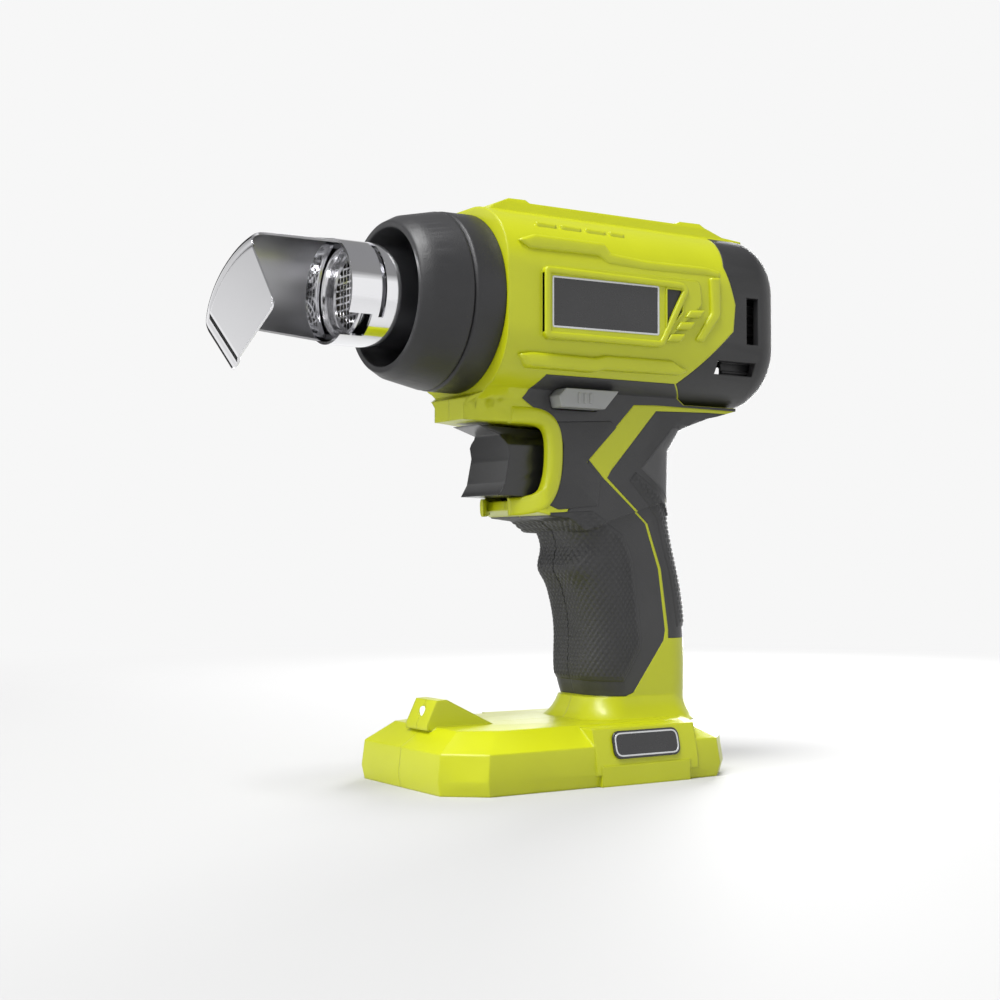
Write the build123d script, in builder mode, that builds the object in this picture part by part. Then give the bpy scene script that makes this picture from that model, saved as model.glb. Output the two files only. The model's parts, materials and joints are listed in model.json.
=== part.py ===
from build123d import *
import math
import os

os.makedirs("parts", exist_ok=True)

# ------------------------------------------------------------------ driving dimensions
# Millimetres. +Z is up, the nozzle points towards -X, y = 0 is the seam between the two
# housing halves, and z = 0 is the surface that the battery foot stands on.

# Body: a rounded box along the nozzle axis.
AXIS_Z = 173.4  # height of the nozzle and motor axis
REAR_X = 111.0  # back of the rear cap
FRONT_X = -18.2  # where the nozzle collar meets the body
BODY_WIDTH = 67.0
BODY_HEIGHT = 68.0
BODY_CORNER = 24.0
END_ROUND = 13.0  # rounding of the rear end
DEEP_WALL = 4.8  # shell with its ribs, from the outside to the hollow
SKIN = 2.2  # soft grip layer over the rigid core
GAP = 0.4  # clearance between a moving piece and what it moves in
WIDE = 60.0  # half length of a cut that runs past both sides

# Handle and neck.
NECK_WIDTH = 40.0
NECK_HOLLOW_HALF = 13.5
HANDLE_ROUND = 12.0
HANDLE_SECTIONS = [  # height, front x, rear x, width
    (19.0, 32.4, 78.4, 35.0), (34.0, 31.8, 78.4, 35.0), (50.0, 31.2, 78.0, 35.4),
    (62.0, 30.2, 76.8, 36.0), (72.0, 27.6, 74.8, 36.6), (82.0, 25.2, 72.0, 37.0),
    (92.0, 23.2, 69.4, 37.4), (106.0, 22.6, 67.6, 38.6),
]
FLARE_SECTIONS = [  # height, front x, rear x, width of the skirt that meets the foot
    (19.5, 25.4, 79.4, 47.0), (22.0, 28.6, 79.0, 41.6), (25.4, 30.6, 78.6, 37.6), (29.0, 31.8, 78.4, 35.2),
]
FLARE_ROUND = 13.0

# Battery foot.
FOOT_WIDTH = 78.0
FOOT_FRONT_X = -43.0
FOOT_REAR_X = 81.0
FOOT_FRONT_HALF = 27.6  # half width of the flat front face
FOOT_FRONT_TAPER = 13.3  # length of the two slanted front corners
FOOT_REAR_TAPER = 9.0
FOOT_BELT_Z = 5.0
FOOT_RIDGE_Z = 14.2
FOOT_DECK_Z = 21.0
FOOT_DRAFT = 1.0
FOOT_SLOPE = 11.0  # how far the deck's edge stands in from the foot's edge
FOOT_WALL = 4.0
FOOT_CEILING_Z = 11.0
SOCKET_X, SOCKET_LENGTH, SOCKET_WIDTH, SOCKET_CORNER = 55.0, 36.0, 25.0, 4.0

# Badge boss, its step and the badge on each side of the foot.
BOSS_X0, BOSS_X1 = 15.0, 61.0
BOSS_END = [(24.0, 20.4), (36.6, 20.4), (39.6, 8.0), (39.6, 4.0), (24.0, 4.0)]
STEP_X0, STEP_X1, STEP_Y, STEP_DEPTH, STEP_TOP = 17.0, 57.0, 40.0, 4.0, 7.4
BADGE_X, BADGE_LENGTH, BADGE_HEIGHT, BADGE_CORNER, BADGE_PROUD = 37.6, 30.0, 10.0, 3.0, 1.0
CATCH_X, CATCH_Y, CATCH_Z = 20.0, 33.6, 6.0

# Nozzle collar, outlet tube and heater.
COLLAR_FRONT_X = -49.4
COLLAR_STEP_X = -30.6
COLLAR_RADIUS = 32.6
TUBE_RADIUS = 15.0
TUBE_BORE = 14.2
TUBE_FRONT_X = -66.2
TUBE_REAR_X = 26.0
RIM_RADIUS = 16.4
MESH_X, MESH_RADIUS, MESH_WIRE, MESH_PITCH, MESH_WIRES = -62.0, 12.4, 0.6, 2.4, 9
HEATER_X0, HEATER_X1 = -46.0, 22.0
MICA = 0.8
CROSS_RADIUS = 10.2
COIL_TURNS, COIL_PITCH, COIL_RADIUS, COIL_WIRE = 12, 5.2, 11.6, 0.8

# Spoon deflector.
SLEEVE_RADIUS = 18.5
SLEEVE_BORE = 17.5
SLEEVE_FRONT_X = -72.0
SLEEVE_REAR_X = -40.0
SLOT_X, SLOT_WIDTH, SLOT_MIDDLE, SLOT_HEIGHT = -59.0, 1.9, 5.0, 30.0
NOTCH_ANGLE, NOTCH_LENGTH, NOTCH_WIDTH = 45.0, 15.0, 9.5
RING_X, RING_LENGTH = -56.0, 8.0
SPOON_TILT = 36.5  # the spoon's middle points this far above the far side
SPOON_X = -103.6  # where the spoon's front plate crosses the nozzle axis
SPOON_FAR_X = -112.0
SPOON_SLANT = 0.35  # how fast the plate leans forward towards its far edge
SPOON_LIP, SPOON_LIP_LENGTH = 5.0, 30.0
SPOON_SHEET = 1.0
PALM_ANGLES = (-80, 10, 100)
PALM_OUTER = [(13.0, 17.0), (-4.0, 21.0), (-21.5, 10.0)]
PALM_INNER = [(12.4, 16.1), (-4.0, 20.0), (-20.5, 9.6)]
SPOON_PLAN = [
    (-22.0, -24.5), (-22.0, 12.0), (-18.0, 17.0), (-8.0, 20.6), (6.0, 20.0), (12.0, 16.0), (6.5, -24.5),
]

# Fan and motor.
SHROUD_X, SHROUD_RADIUS, SHROUD_WALL = 46.0, 28.5, 1.6
FAN_X, FAN_DEPTH, FAN_RADIUS = 62.0, 14.0, 25.0
HUB_RADIUS, FAN_BLADES, FAN_CHORD, FAN_PITCH, FAN_SHEET = 8.0, 9, 12.0, 35.0, 1.2
MOTOR_RADIUS, MOTOR_FRONT_X, MOTOR_LENGTH = 16.0, 77.0, 26.0
MOUNT_DEPTH, MOUNT_ARM = 2.0, 3.0
BUSH_RADIUS = 4.0
SHAFT_RADIUS = 1.6
RUNNING_GAP = 0.05

# Trigger, switch, spring and slide.
TRIGGER_WIDTH, TRIGGER_Z, TRIGGER_EDGE = 17.0, 116.0, 6.0
SWITCH_FRONT_X, SWITCH_REAR_X, SWITCH_Z = 42.0, 59.0, 115.0
SWITCH_WIDTH, SWITCH_HEIGHT = 16.0, 21.0
SPRING_RADIUS, SPRING_WIRE, SPRING_TURNS = 3.4, 0.45, 6
SPRING_X0, SPRING_X1 = 31.6, 41.4
SLIDE_OUT, SLIDE_BAR, SLIDE_IN = 26.0, 17.0, 20.5
SLIDE_BAR_X, SLIDE_BAR_Z, SLIDE_BAR_LENGTH, SLIDE_BAR_HEIGHT = 17.0, 138.8, 10.0, 4.0

# Screws that clamp the two halves.
SCREW_HEAD, SCREW_SHANK, SCREW_HEAD_DEPTH, SCREW_DRIVE = 3.6, 1.6, 2.6, 1.6
BOSS_RADIUS = 4.4
SCREW_PLACES = [(-2.0, 197.0), (26.0, 197.0), (-4.0, 148.5), (60.5, 96.0), (-33.0, 10.0)]
SCREW_TIP_Y, SCREW_SEAT_Y = -6.0, 12.0

# Raised frame on each side with its plate and window, and the lamp.
FRAME_HALF, FRAME_CORNER = 34.8, 2.5
PLATE_CORNER, PLATE_DEPTH = 0.8, 0.9
LAMP_HALF, LAMP_X, LAMP_Z, LENS_RADIUS = 7.5, -33.6, 26.2, 1.9

# Rear cap and its vents.
CAP_WALL = 3.0
SIDE_VENT_X, SIDE_VENT_Z, SIDE_VENT_WIDTH, SIDE_VENT_HEIGHT = 94.0, 172.0, 6.0, 18.0
BELLY_VENT_X, BELLY_VENT_Z, BELLY_VENT_LENGTH, BELLY_VENT_HEIGHT = 87.0, 153.6, 19.0, 5.0
BACK_VENT_LENGTH, BACK_VENT_HEIGHT, BACK_VENT_PITCH, BACK_VENT_ROWS = 16.0, 3.6, 8.0, 5

# Electrics.
TERMINAL_X, TERMINAL_Z, TERMINAL_LENGTH, TERMINAL_WIDTH, TERMINAL_HEIGHT = 50.0, 80.0, 30.0, 20.0, 8.0
BLADE_PITCH, BLADE_LENGTH, BLADE_SHEET, BLADE_DROP = 10.0, 8.0, 0.8, 13.0
BOARD_X, BOARD_Z, BOARD_LENGTH, BOARD_WIDTH, BOARD_SHEET = 20.0, 147.0, 32.0, 26.0, 1.6
BOARD_PARTS = [  # x, y, length, width, height, from the board's middle
    (-8.0, -6.0, 8.0, 7.0, 5.0), (-6.0, 7.0, 6.0, 6.0, 6.5),
    (3.0, -7.0, 5.0, 8.0, 3.0), (4.0, 8.0, 4.0, 5.0, 2.4),
]
LEAD_RADIUS, LEAD_BEND, LEAD_Y, LEAD_Z = 1.1, 4.0, 4.0, 134.6

# Outlines in the side view, as (x, z).
NECK_SIDE = [
    (-18.2, 150.0), (-18.2, 140.2), (-22.4, 138.4), (-22.4, 130.6), (15.0, 129.0), (21.0, 125.5),
    (22.5, 121.0), (20.5, 106.5), (17.0, 101.5), (9.0, 100.6), (2.0, 102.0), (1.5, 98.5),
    (9.0, 96.2), (18.0, 95.5), (24.0, 91.0), (34.0, 94.0), (60.0, 102.0), (68.0, 97.0),
    (68.2, 122.0), (71.0, 130.0), (84.0, 135.0), (97.0, 138.5), (97.0, 150.0),
]
NECK_CORE = [
    (-18.2, 150.0), (-18.2, 140.2), (-22.4, 138.4), (-22.4, 130.6), (15.0, 129.0), (21.0, 125.5),
    (22.5, 121.0), (20.5, 106.5), (17.0, 101.5), (9.0, 100.6), (2.0, 102.0), (1.5, 98.5),
    (9.0, 96.2), (18.0, 97.0), (26.0, 96.0), (34.0, 96.0), (60.0, 104.0), (65.8, 99.5),
    (66.0, 122.4), (69.2, 132.0), (83.0, 137.3), (94.8, 140.2), (94.8, 150.0),
]
NECK_HOLLOW = [
    (36.0, 99.0), (61.0, 106.0), (61.0, 122.0), (66.0, 148.0), (8.0, 148.0), (8.0, 143.0), (24.0, 132.5),
    (36.0, 131.0),
]
GRIP_FRONT_ZONE = [
    (-30.0, 31.2), (44.5, 29.2), (48.0, 30.4), (62.3, 49.6), (63.0, 53.5), (59.2, 76.7),
    (52.8, 93.8), (32.2, 110.7), (25.8, 117.1), (46.7, 138.4), (57.3, 138.8), (100.0, 138.4),
    (100.0, 139.5), (70.6, 139.5), (60.8, 146.6), (2.4, 146.6), (-2.8, 138.5), (8.6, 130.0),
    (26.5, 124.0), (23.0, 104.0), (14.0, 96.0), (-30.0, 96.0),
]
GRIP_REAR_ZONE = [
    (100.0, 137.2), (81.4, 137.2), (57.3, 136.6), (36.0, 113.4), (34.2, 110.6), (54.0, 93.8),
    (60.6, 76.7), (64.6, 53.5), (64.6, 50.4), (100.0, 50.4),
]
CAP_ZONE = [
    (130.0, 205.6), (84.0, 205.6), (80.8, 192.0), (85.5, 177.8), (84.4, 167.4), (61.6, 146.6),
    (70.9, 139.6), (130.0, 139.6),
]
RAIL_SIDE = [
    (-17.4, 190.0), (-17.4, 204.6), (-13.0, 208.3), (-6.0, 211.4), (1.4, 211.6), (3.0, 210.4),
    (72.0, 210.8), (74.0, 212.0), (84.0, 212.2), (86.0, 210.6), (94.0, 207.6), (103.5, 206.8),
    (103.5, 205.9), (84.2, 205.9), (78.0, 190.0),
]
RAIL_END = [(-21.0, 188.0), (-21.0, 201.6), (-19.4, 203.4), (-16.6, 204.0), (-15.2, 210.0), (-13.2, 214.0)]
FRAME_SIDE = [(-4.0, 158.0), (49.0, 159.4), (68.0, 176.0), (67.0, 185.0), (-4.0, 184.0)]
PLATE_SIDE = [(-0.4, 162.6), (47.0, 163.2), (47.0, 181.0), (-0.4, 180.4)]
WINDOW_SIDE = [(50.5, 166.0), (52.5, 166.0), (58.5, 172.5), (58.5, 181.0), (50.5, 181.0)]
TRIGGER_SIDE = [
    (-15.5, 129.2), (-6.0, 126.0), (-4.6, 118.0), (-6.6, 108.0), (-9.2, 103.6), (10.0, 103.0),
    (31.0, 105.0), (31.0, 124.0), (15.5, 127.8),
]
TRIGGER_SLOT = [(3.0, 102.4), (38.0, 102.4), (38.0, 128.6), (3.0, 129.5)]
LEVER_SIDE = [(9.5, 135.4), (29.0, 135.4), (35.5, 142.4), (11.5, 142.4), (8.5, 139.4)]
LAMP_SIDE = [(-35.6, 20.0), (-35.6, 22.0), (-31.5, 30.4), (-27.5, 30.6), (-7.0, 20.5), (-7.0, 20.0)]

SIDES = (("left", -1), ("right", 1))


# ------------------------------------------------------------------ helpers
def finish(builder, name):
    """Labels a piece and writes it to its own file."""
    builder.part.label = name
    export_step(builder.part, f"parts/{name}.step")


def side_prism(points, half_width, round_radius=0.0):
    """A prism with the side-view outline points, reaching half_width to each side of the seam."""
    with BuildPart() as prism:
        with BuildSketch(Plane.XZ) as face:
            with BuildLine():
                Polyline(*points, close=True)
            make_face()
            if round_radius:
                fillet(face.vertices(), round_radius)
        extrude(amount=half_width, both=True)
    return prism.part


def side_slab(points, side, y0, y1, round_radius=0.0):
    """A slab with the side-view outline points on one side of the tool, from y0 out to y1."""
    with BuildPart() as slab:
        with BuildSketch(Plane.XZ.offset(-side * y0)) as face:
            with BuildLine():
                Polyline(*points, close=True)
            make_face()
            if round_radius:
                fillet(face.vertices(), round_radius)
        extrude(amount=-side * (y1 - y0))
    return slab.part


def along_x(x):
    """A plane that faces +X, centred on the nozzle axis at the distance x."""
    return Plane(origin=(x, 0, AXIS_Z), x_dir=(0, 1, 0), z_dir=(1, 0, 0))


def ring(x, length, outer, inner=0.0):
    """A round bush on the nozzle axis from x, length long."""
    with BuildPart() as piece:
        with BuildSketch(along_x(x)):
            Circle(outer)
            if inner:
                Circle(inner, mode=Mode.SUBTRACT)
        extrude(amount=length)
    return piece.part


def half_space(side):
    """The space on one side of the seam: side is -1 for the left half and 1 for the right."""
    with BuildPart() as space:
        with Locations((30, side * WIDE / 2, 110)):
            Box(400, WIDE, 400)
    return space.part


def foot_outline(inset):
    """The foot's eight-sided plan, drawn inset millimetres inside its edge."""
    half = FOOT_WIDTH / 2 - inset
    front = FOOT_FRONT_X + inset
    rear = FOOT_REAR_X - inset
    nose = FOOT_FRONT_HALF - 0.5 * inset
    tail = half - FOOT_REAR_TAPER
    return [
        (front, -nose), (front + FOOT_FRONT_TAPER, -half), (rear - FOOT_REAR_TAPER, -half), (rear, -tail),
        (rear, tail), (rear - FOOT_REAR_TAPER, half), (front + FOOT_FRONT_TAPER, half), (front, nose),
    ]


def foot_layer(inset, z):
    """One level of the foot, as a sketch at height z."""
    with BuildSketch(Plane.XY.offset(z)) as layer:
        with BuildLine():
            Polyline(*foot_outline(inset), close=True)
        make_face()
    return layer.sketch


# ------------------------------------------------------------------ outer forms
def barrel_form(inset=0.0, x0=FRONT_X, x1=REAR_X, end_round=0.0):
    """The barrel of the body: a rounded box along the nozzle axis, its rear end rounded by end_round."""
    with BuildPart() as barrel:
        with BuildSketch(along_x(x0)):
            RectangleRounded(BODY_WIDTH - 2 * inset, BODY_HEIGHT - 2 * inset, BODY_CORNER - inset)
        extrude(amount=x1 - x0)
        if end_round:
            fillet(barrel.faces().sort_by(Axis.X)[-1].edges(), end_round)
    return barrel.part


def handle_form(sections=HANDLE_SECTIONS, corner=HANDLE_ROUND, inset=0.0):
    """A loft through rounded level sections, drawn inset millimetres inside the grip's surface."""
    with BuildPart() as handle:
        for z, front, rear, width in sections:
            with BuildSketch(Plane(origin=((front + rear) / 2, 0, z))):
                RectangleRounded(rear - front - 2 * inset, width - 2 * inset, corner - inset)
        loft()
    return handle.part


def foot_form():
    """The battery foot: a low belt, an upright side and a sloping shoulder up to the deck."""
    with BuildPart() as foot:
        loft([foot_layer(FOOT_DRAFT, 0.0), foot_layer(0.0, FOOT_BELT_Z)])
        loft([foot_layer(0.0, FOOT_BELT_Z), foot_layer(FOOT_DRAFT, FOOT_RIDGE_Z)])
        loft([foot_layer(FOOT_DRAFT, FOOT_RIDGE_Z), foot_layer(FOOT_SLOPE, FOOT_DECK_Z)])
    return foot.part


def rail_form():
    """The flat rail along the top, with a lower ledge beside it on each side."""
    with BuildPart() as rail:
        with BuildSketch(Plane.YZ.offset(FRONT_X - 2.0)):
            with BuildLine():
                Polyline(*RAIL_END, *[(-y, z) for y, z in reversed(RAIL_END)], close=True)
            make_face()
        extrude(amount=REAR_X - FRONT_X)
        add(side_prism(RAIL_SIDE, WIDE), mode=Mode.INTERSECT)
    return rail.part


def badge_boss(side):
    """The raised trapezoid on one side of the foot that carries the badge, with a step below it."""
    with BuildPart() as boss:
        with BuildSketch(Plane.YZ.offset(BOSS_X0)):
            with BuildLine():
                Polyline(*[(side * y, z) for y, z in BOSS_END], close=True)
            make_face()
        extrude(amount=BOSS_X1 - BOSS_X0)
        with Locations(((STEP_X0 + STEP_X1) / 2, side * (STEP_Y - STEP_DEPTH / 2), STEP_TOP / 2)):
            Box(STEP_X1 - STEP_X0, STEP_DEPTH, STEP_TOP)
    return boss.part


def badge_plane(side):
    """The sloping face of the boss, seen square on, with its own x along the foot."""
    (y0, z0), (y1, z1) = BOSS_END[1], BOSS_END[2]
    normal = (0, side * (z0 - z1), y1 - y0)
    return Plane(origin=(BADGE_X, side * (y0 + y1) / 2, (z0 + z1) / 2), x_dir=(1, 0, 0), z_dir=normal)


def lever_slot(clearance):
    """The slide's own outline, grown by clearance all round."""
    with BuildSketch(Plane.XZ) as face:
        with BuildLine():
            Polyline(*LEVER_SIDE, close=True)
        make_face()
        offset(amount=clearance, kind=Kind.INTERSECTION, mode=Mode.REPLACE)
    return face.sketch


# ------------------------------------------------------------------ inner hollows
def body_hollow():
    """Everything that is empty inside the two housing halves."""
    with BuildPart() as hollow:
        add(barrel_form(DEEP_WALL, FRONT_X + 4.2, REAR_X + 1.0))
        add(handle_form(inset=DEEP_WALL))
        add(side_prism(NECK_HOLLOW, NECK_HOLLOW_HALF))
        loft([foot_layer(FOOT_WALL, -1.0), foot_layer(FOOT_WALL, FOOT_CEILING_Z)])
        with BuildSketch(Plane.XY.offset(FOOT_CEILING_Z - 1.0)):
            with Locations((SOCKET_X, 0)):
                RectangleRounded(SOCKET_LENGTH, SOCKET_WIDTH, SOCKET_CORNER)
        extrude(amount=FOOT_DECK_Z - FOOT_CEILING_Z + 2.0)
        add(ring(FRONT_X - 1.0, 6.0, TUBE_RADIUS))
    return hollow.part


def screw_columns(radius, y0, y1):
    """One round column along y at each screw place."""
    with BuildPart() as columns:
        with BuildSketch(Plane.XZ.offset(-y1)):
            with Locations(*SCREW_PLACES):
                Circle(radius)
        extrude(amount=y1 - y0)
    return columns.part


# ------------------------------------------------------------------ housing, grips and rear cap
def whole_form():
    """The closed outer form of housing, grips and rear cap together."""
    with BuildPart() as form:
        add(barrel_form(end_round=END_ROUND))
        add(side_prism(NECK_SIDE, NECK_WIDTH / 2))
        add(handle_form())
        add(handle_form(FLARE_SECTIONS, FLARE_ROUND))
        add(foot_form())
        add(rail_form())
        add(side_prism(LAMP_SIDE, LAMP_HALF))
        for side in (-1, 1):
            add(badge_boss(side))
        add(side_prism(FRAME_SIDE, FRAME_HALF, FRAME_CORNER))
    return form.part


def core_form():
    """The rigid core that the soft grips are moulded over."""
    with BuildPart() as core:
        add(barrel_form(SKIN, FRONT_X, 86.0))
        add(side_prism(NECK_CORE, NECK_WIDTH / 2 - SKIN))
        add(handle_form(inset=SKIN))
    return core.part


def zone(points):
    """A cutter that takes a side-view region right through the tool."""
    return side_prism(points, WIDE)


form = whole_form()
core = core_form()
hollow = body_hollow()
front_zone, rear_zone, cap_zone = zone(GRIP_FRONT_ZONE), zone(GRIP_REAR_ZONE), zone(CAP_ZONE)

with BuildPart() as shell:
    add(form)
    for cutter in (front_zone, rear_zone, cap_zone):
        add(cutter, mode=Mode.SUBTRACT)
    add(core)
    add(cap_zone, mode=Mode.SUBTRACT)
    with BuildPart(mode=Mode.PRIVATE) as bosses:
        add(screw_columns(BOSS_RADIUS, -WIDE, WIDE))
        add(shell, mode=Mode.INTERSECT)
    add(hollow, mode=Mode.SUBTRACT)
    add(bosses.part)
    add(side_prism(TRIGGER_SLOT, TRIGGER_WIDTH / 2 + GAP), mode=Mode.SUBTRACT)
    extrude(lever_slot(GAP), amount=WIDE, both=True, mode=Mode.SUBTRACT)
    add(screw_columns(SCREW_SHANK, SCREW_TIP_Y, WIDE), mode=Mode.SUBTRACT)
    add(screw_columns(SCREW_HEAD + 0.3, SCREW_SEAT_Y, WIDE), mode=Mode.SUBTRACT)
    for side in (-1, 1):
        for outline in (PLATE_SIDE, WINDOW_SIDE):
            add(side_slab(outline, side, FRAME_HALF - PLATE_DEPTH, WIDE, PLATE_CORNER), mode=Mode.SUBTRACT)
    with BuildSketch(Plane.YZ.offset(LAMP_X - 4.0)):
        with Locations((0, LAMP_Z)):
            Circle(LENS_RADIUS)
    extrude(amount=14.0, mode=Mode.SUBTRACT)

for word, side in SIDES:
    with BuildPart() as housing:
        add(shell)
        add(half_space(side), mode=Mode.INTERSECT)
    finish(housing, f"housing_{word}")

    for place, cutter in (("front", front_zone), ("rear", rear_zone)):
        with BuildPart() as grip:
            add(cutter)
            add(form, mode=Mode.INTERSECT)
            add(half_space(side), mode=Mode.INTERSECT)
            for solid in (core, hollow):
                add(solid, mode=Mode.SUBTRACT)
            if place == "front":
                extrude(lever_slot(GAP), amount=WIDE, both=True, mode=Mode.SUBTRACT)
                add(side_prism(TRIGGER_SLOT, TRIGGER_WIDTH / 2 + GAP), mode=Mode.SUBTRACT)
            if side > 0:
                add(screw_columns(SCREW_HEAD + 0.3, SCREW_SEAT_Y, WIDE), mode=Mode.SUBTRACT)
        finish(grip, f"grip_{place}_{word}")

with BuildPart() as rear_cap:
    add(cap_zone)
    add(barrel_form(end_round=END_ROUND), mode=Mode.INTERSECT)
    add(rail_form(), mode=Mode.SUBTRACT)
    add(barrel_form(CAP_WALL, 55.0, REAR_X - CAP_WALL, END_ROUND - CAP_WALL), mode=Mode.SUBTRACT)
    with Locations((SIDE_VENT_X, 0, SIDE_VENT_Z)):
        Box(SIDE_VENT_WIDTH, 2 * WIDE, SIDE_VENT_HEIGHT, mode=Mode.SUBTRACT)
    for side in (-1, 1):
        with Locations((BELLY_VENT_X, side * WIDE * 0.75, BELLY_VENT_Z)):
            Box(BELLY_VENT_LENGTH, WIDE, BELLY_VENT_HEIGHT, mode=Mode.SUBTRACT)
    with BuildSketch(Plane.YZ.offset(REAR_X - 8.0)):
        with Locations((0, AXIS_Z)):
            with GridLocations(BACK_VENT_LENGTH + 5.0, BACK_VENT_PITCH, 2, BACK_VENT_ROWS):
                SlotOverall(BACK_VENT_LENGTH, BACK_VENT_HEIGHT)
    extrude(amount=16.0, mode=Mode.SUBTRACT)
finish(rear_cap, "rear_cap")


# ------------------------------------------------------------------ plates, lamp and foot trim
for word, side in SIDES:
    with BuildPart() as name_plate:
        add(side_slab(PLATE_SIDE, side, FRAME_HALF - PLATE_DEPTH, FRAME_HALF - 0.2, PLATE_CORNER))
    finish(name_plate, f"name_plate_{word}")

    with BuildPart() as side_window:
        add(side_slab(WINDOW_SIDE, side, FRAME_HALF - PLATE_DEPTH, FRAME_HALF - 0.5, PLATE_CORNER))
    finish(side_window, f"side_window_{word}")

    with BuildPart() as foot_badge:
        with BuildSketch(badge_plane(side)):
            RectangleRounded(BADGE_LENGTH, BADGE_HEIGHT, BADGE_CORNER)
        extrude(amount=BADGE_PROUD)
    finish(foot_badge, f"foot_badge_{word}")

    with BuildPart() as catch:
        with Locations((CATCH_X, side * CATCH_Y, CATCH_Z)):
            Box(16.0, 1.6, 5.0)
        with Locations((CATCH_X, side * (CATCH_Y - 1.4), CATCH_Z - 1.7)):
            Box(12.0, 1.2, 1.6)
    finish(catch, f"battery_catch_{word}")

with BuildPart() as lamp_lens:
    with BuildSketch(Plane.YZ.offset(LAMP_X + 0.2)):
        with Locations((0, LAMP_Z)):
            Circle(LENS_RADIUS)
    extrude(amount=4.0)
finish(lamp_lens, "lamp_lens")

with BuildPart() as lamp_board:
    with BuildSketch(Plane.YZ.offset(LAMP_X + 4.2)):
        with Locations((0, LAMP_Z)):
            Circle(LENS_RADIUS)
    extrude(amount=1.6)
finish(lamp_board, "lamp_board")

with BuildPart() as housing_screws:
    add(screw_columns(SCREW_SHANK, SCREW_TIP_Y, SCREW_SEAT_Y))
    add(screw_columns(SCREW_HEAD, SCREW_SEAT_Y, SCREW_SEAT_Y + SCREW_HEAD_DEPTH))
    with BuildSketch(Plane.XZ.offset(-SCREW_SEAT_Y - SCREW_HEAD_DEPTH)):
        with Locations(*SCREW_PLACES):
            RegularPolygon(SCREW_DRIVE, 6)
    extrude(amount=1.4, mode=Mode.SUBTRACT)
finish(housing_screws, "housing_screws")


# ------------------------------------------------------------------ nozzle end
def turned(outline):
    """A solid turned about the nozzle axis from an outline of (x, radius) points."""
    with BuildPart() as piece:
        with BuildSketch(Plane.XZ):
            with BuildLine():
                Polyline(*[(x, AXIS_Z + r) for x, r in outline], close=True)
            make_face()
        revolve(axis=Axis((0, 0, AXIS_Z), (1, 0, 0)))
    return piece.part


with BuildPart() as collar_front:
    add(turned([
        (COLLAR_FRONT_X, 24.6), (COLLAR_FRONT_X, 26.6), (COLLAR_FRONT_X + 0.6, 27.2), (-44.9, 29.3),
        (-31.4, 32.2), (COLLAR_STEP_X, 31.4), (COLLAR_STEP_X, 24.6),
    ]))
finish(collar_front, "collar_front")

with BuildPart() as collar_rear:
    add(turned([
        (COLLAR_STEP_X, 23.0), (COLLAR_STEP_X, 31.4), (COLLAR_STEP_X + 0.9, 32.4),
        (FRONT_X, COLLAR_RADIUS), (FRONT_X, TUBE_RADIUS), (-22.0, TUBE_RADIUS), (-22.0, 23.0),
    ]))
finish(collar_rear, "collar_rear")

with BuildPart() as outlet_tube:
    add(turned([
        (TUBE_FRONT_X + 1.6, TUBE_BORE), (TUBE_FRONT_X, TUBE_BORE + 0.6), (TUBE_FRONT_X, RIM_RADIUS - 0.5),
        (TUBE_FRONT_X + 0.6, RIM_RADIUS), (TUBE_FRONT_X + 1.4, RIM_RADIUS - 0.4),
        (TUBE_FRONT_X + 1.8, TUBE_RADIUS),
        (TUBE_REAR_X, TUBE_RADIUS), (TUBE_REAR_X, TUBE_BORE),
    ]))
finish(outlet_tube, "outlet_tube")

with BuildPart() as outlet_mesh:
    add(ring(MESH_X, 1.6, TUBE_BORE, MESH_RADIUS))
    with BuildPart(mode=Mode.PRIVATE) as wires:
        with BuildSketch(along_x(MESH_X + 0.4)):
            with GridLocations(MESH_PITCH, 0, MESH_WIRES, 1):
                Rectangle(MESH_WIRE, 2 * MESH_RADIUS)
            with GridLocations(0, MESH_PITCH, 1, MESH_WIRES):
                Rectangle(2 * MESH_RADIUS, MESH_WIRE)
        extrude(amount=MESH_WIRE)
        add(ring(MESH_X, 2.0, MESH_RADIUS + 0.3), mode=Mode.INTERSECT)
    add(wires.part)
finish(outlet_mesh, "outlet_mesh")

with BuildPart() as mica_tube:
    add(ring(HEATER_X0, HEATER_X1 - HEATER_X0, TUBE_BORE - 0.1, TUBE_BORE - 0.1 - MICA))
finish(mica_tube, "mica_tube")

with BuildPart() as mica_cross:
    for angle in (45, 135):
        with BuildSketch(along_x(HEATER_X0).rotated((angle, 0, 0))):
            Rectangle(2 * CROSS_RADIUS, MICA)
        extrude(amount=HEATER_X1 - HEATER_X0)
finish(mica_cross, "mica_cross")

with BuildPart() as heating_coil:
    for turn in range(COIL_TURNS):
        x = HEATER_X0 + 4.0 + turn * COIL_PITCH
        with Locations(Location((x, 0, AXIS_Z), (0, 90, 0))):
            Torus(COIL_RADIUS, COIL_WIRE)
        if turn:
            link_z = AXIS_Z + COIL_RADIUS * (-1) ** turn
            with Locations(Location((x - COIL_PITCH / 2, 0, link_z), (0, 90, 0))):
                Cylinder(COIL_WIRE * 0.9, COIL_PITCH)
finish(heating_coil, "heating_coil")

with BuildPart() as heater_duct:
    add(turned([
        (TUBE_REAR_X - 4.0, TUBE_RADIUS), (TUBE_REAR_X - 4.0, TUBE_RADIUS + 1.4),
        (TUBE_REAR_X + 2.0, TUBE_RADIUS + 1.4), (SHROUD_X, SHROUD_RADIUS),
        (SHROUD_X, SHROUD_RADIUS - SHROUD_WALL), (TUBE_REAR_X + 2.0, TUBE_RADIUS),
    ]))
finish(heater_duct, "heater_duct")


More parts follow.
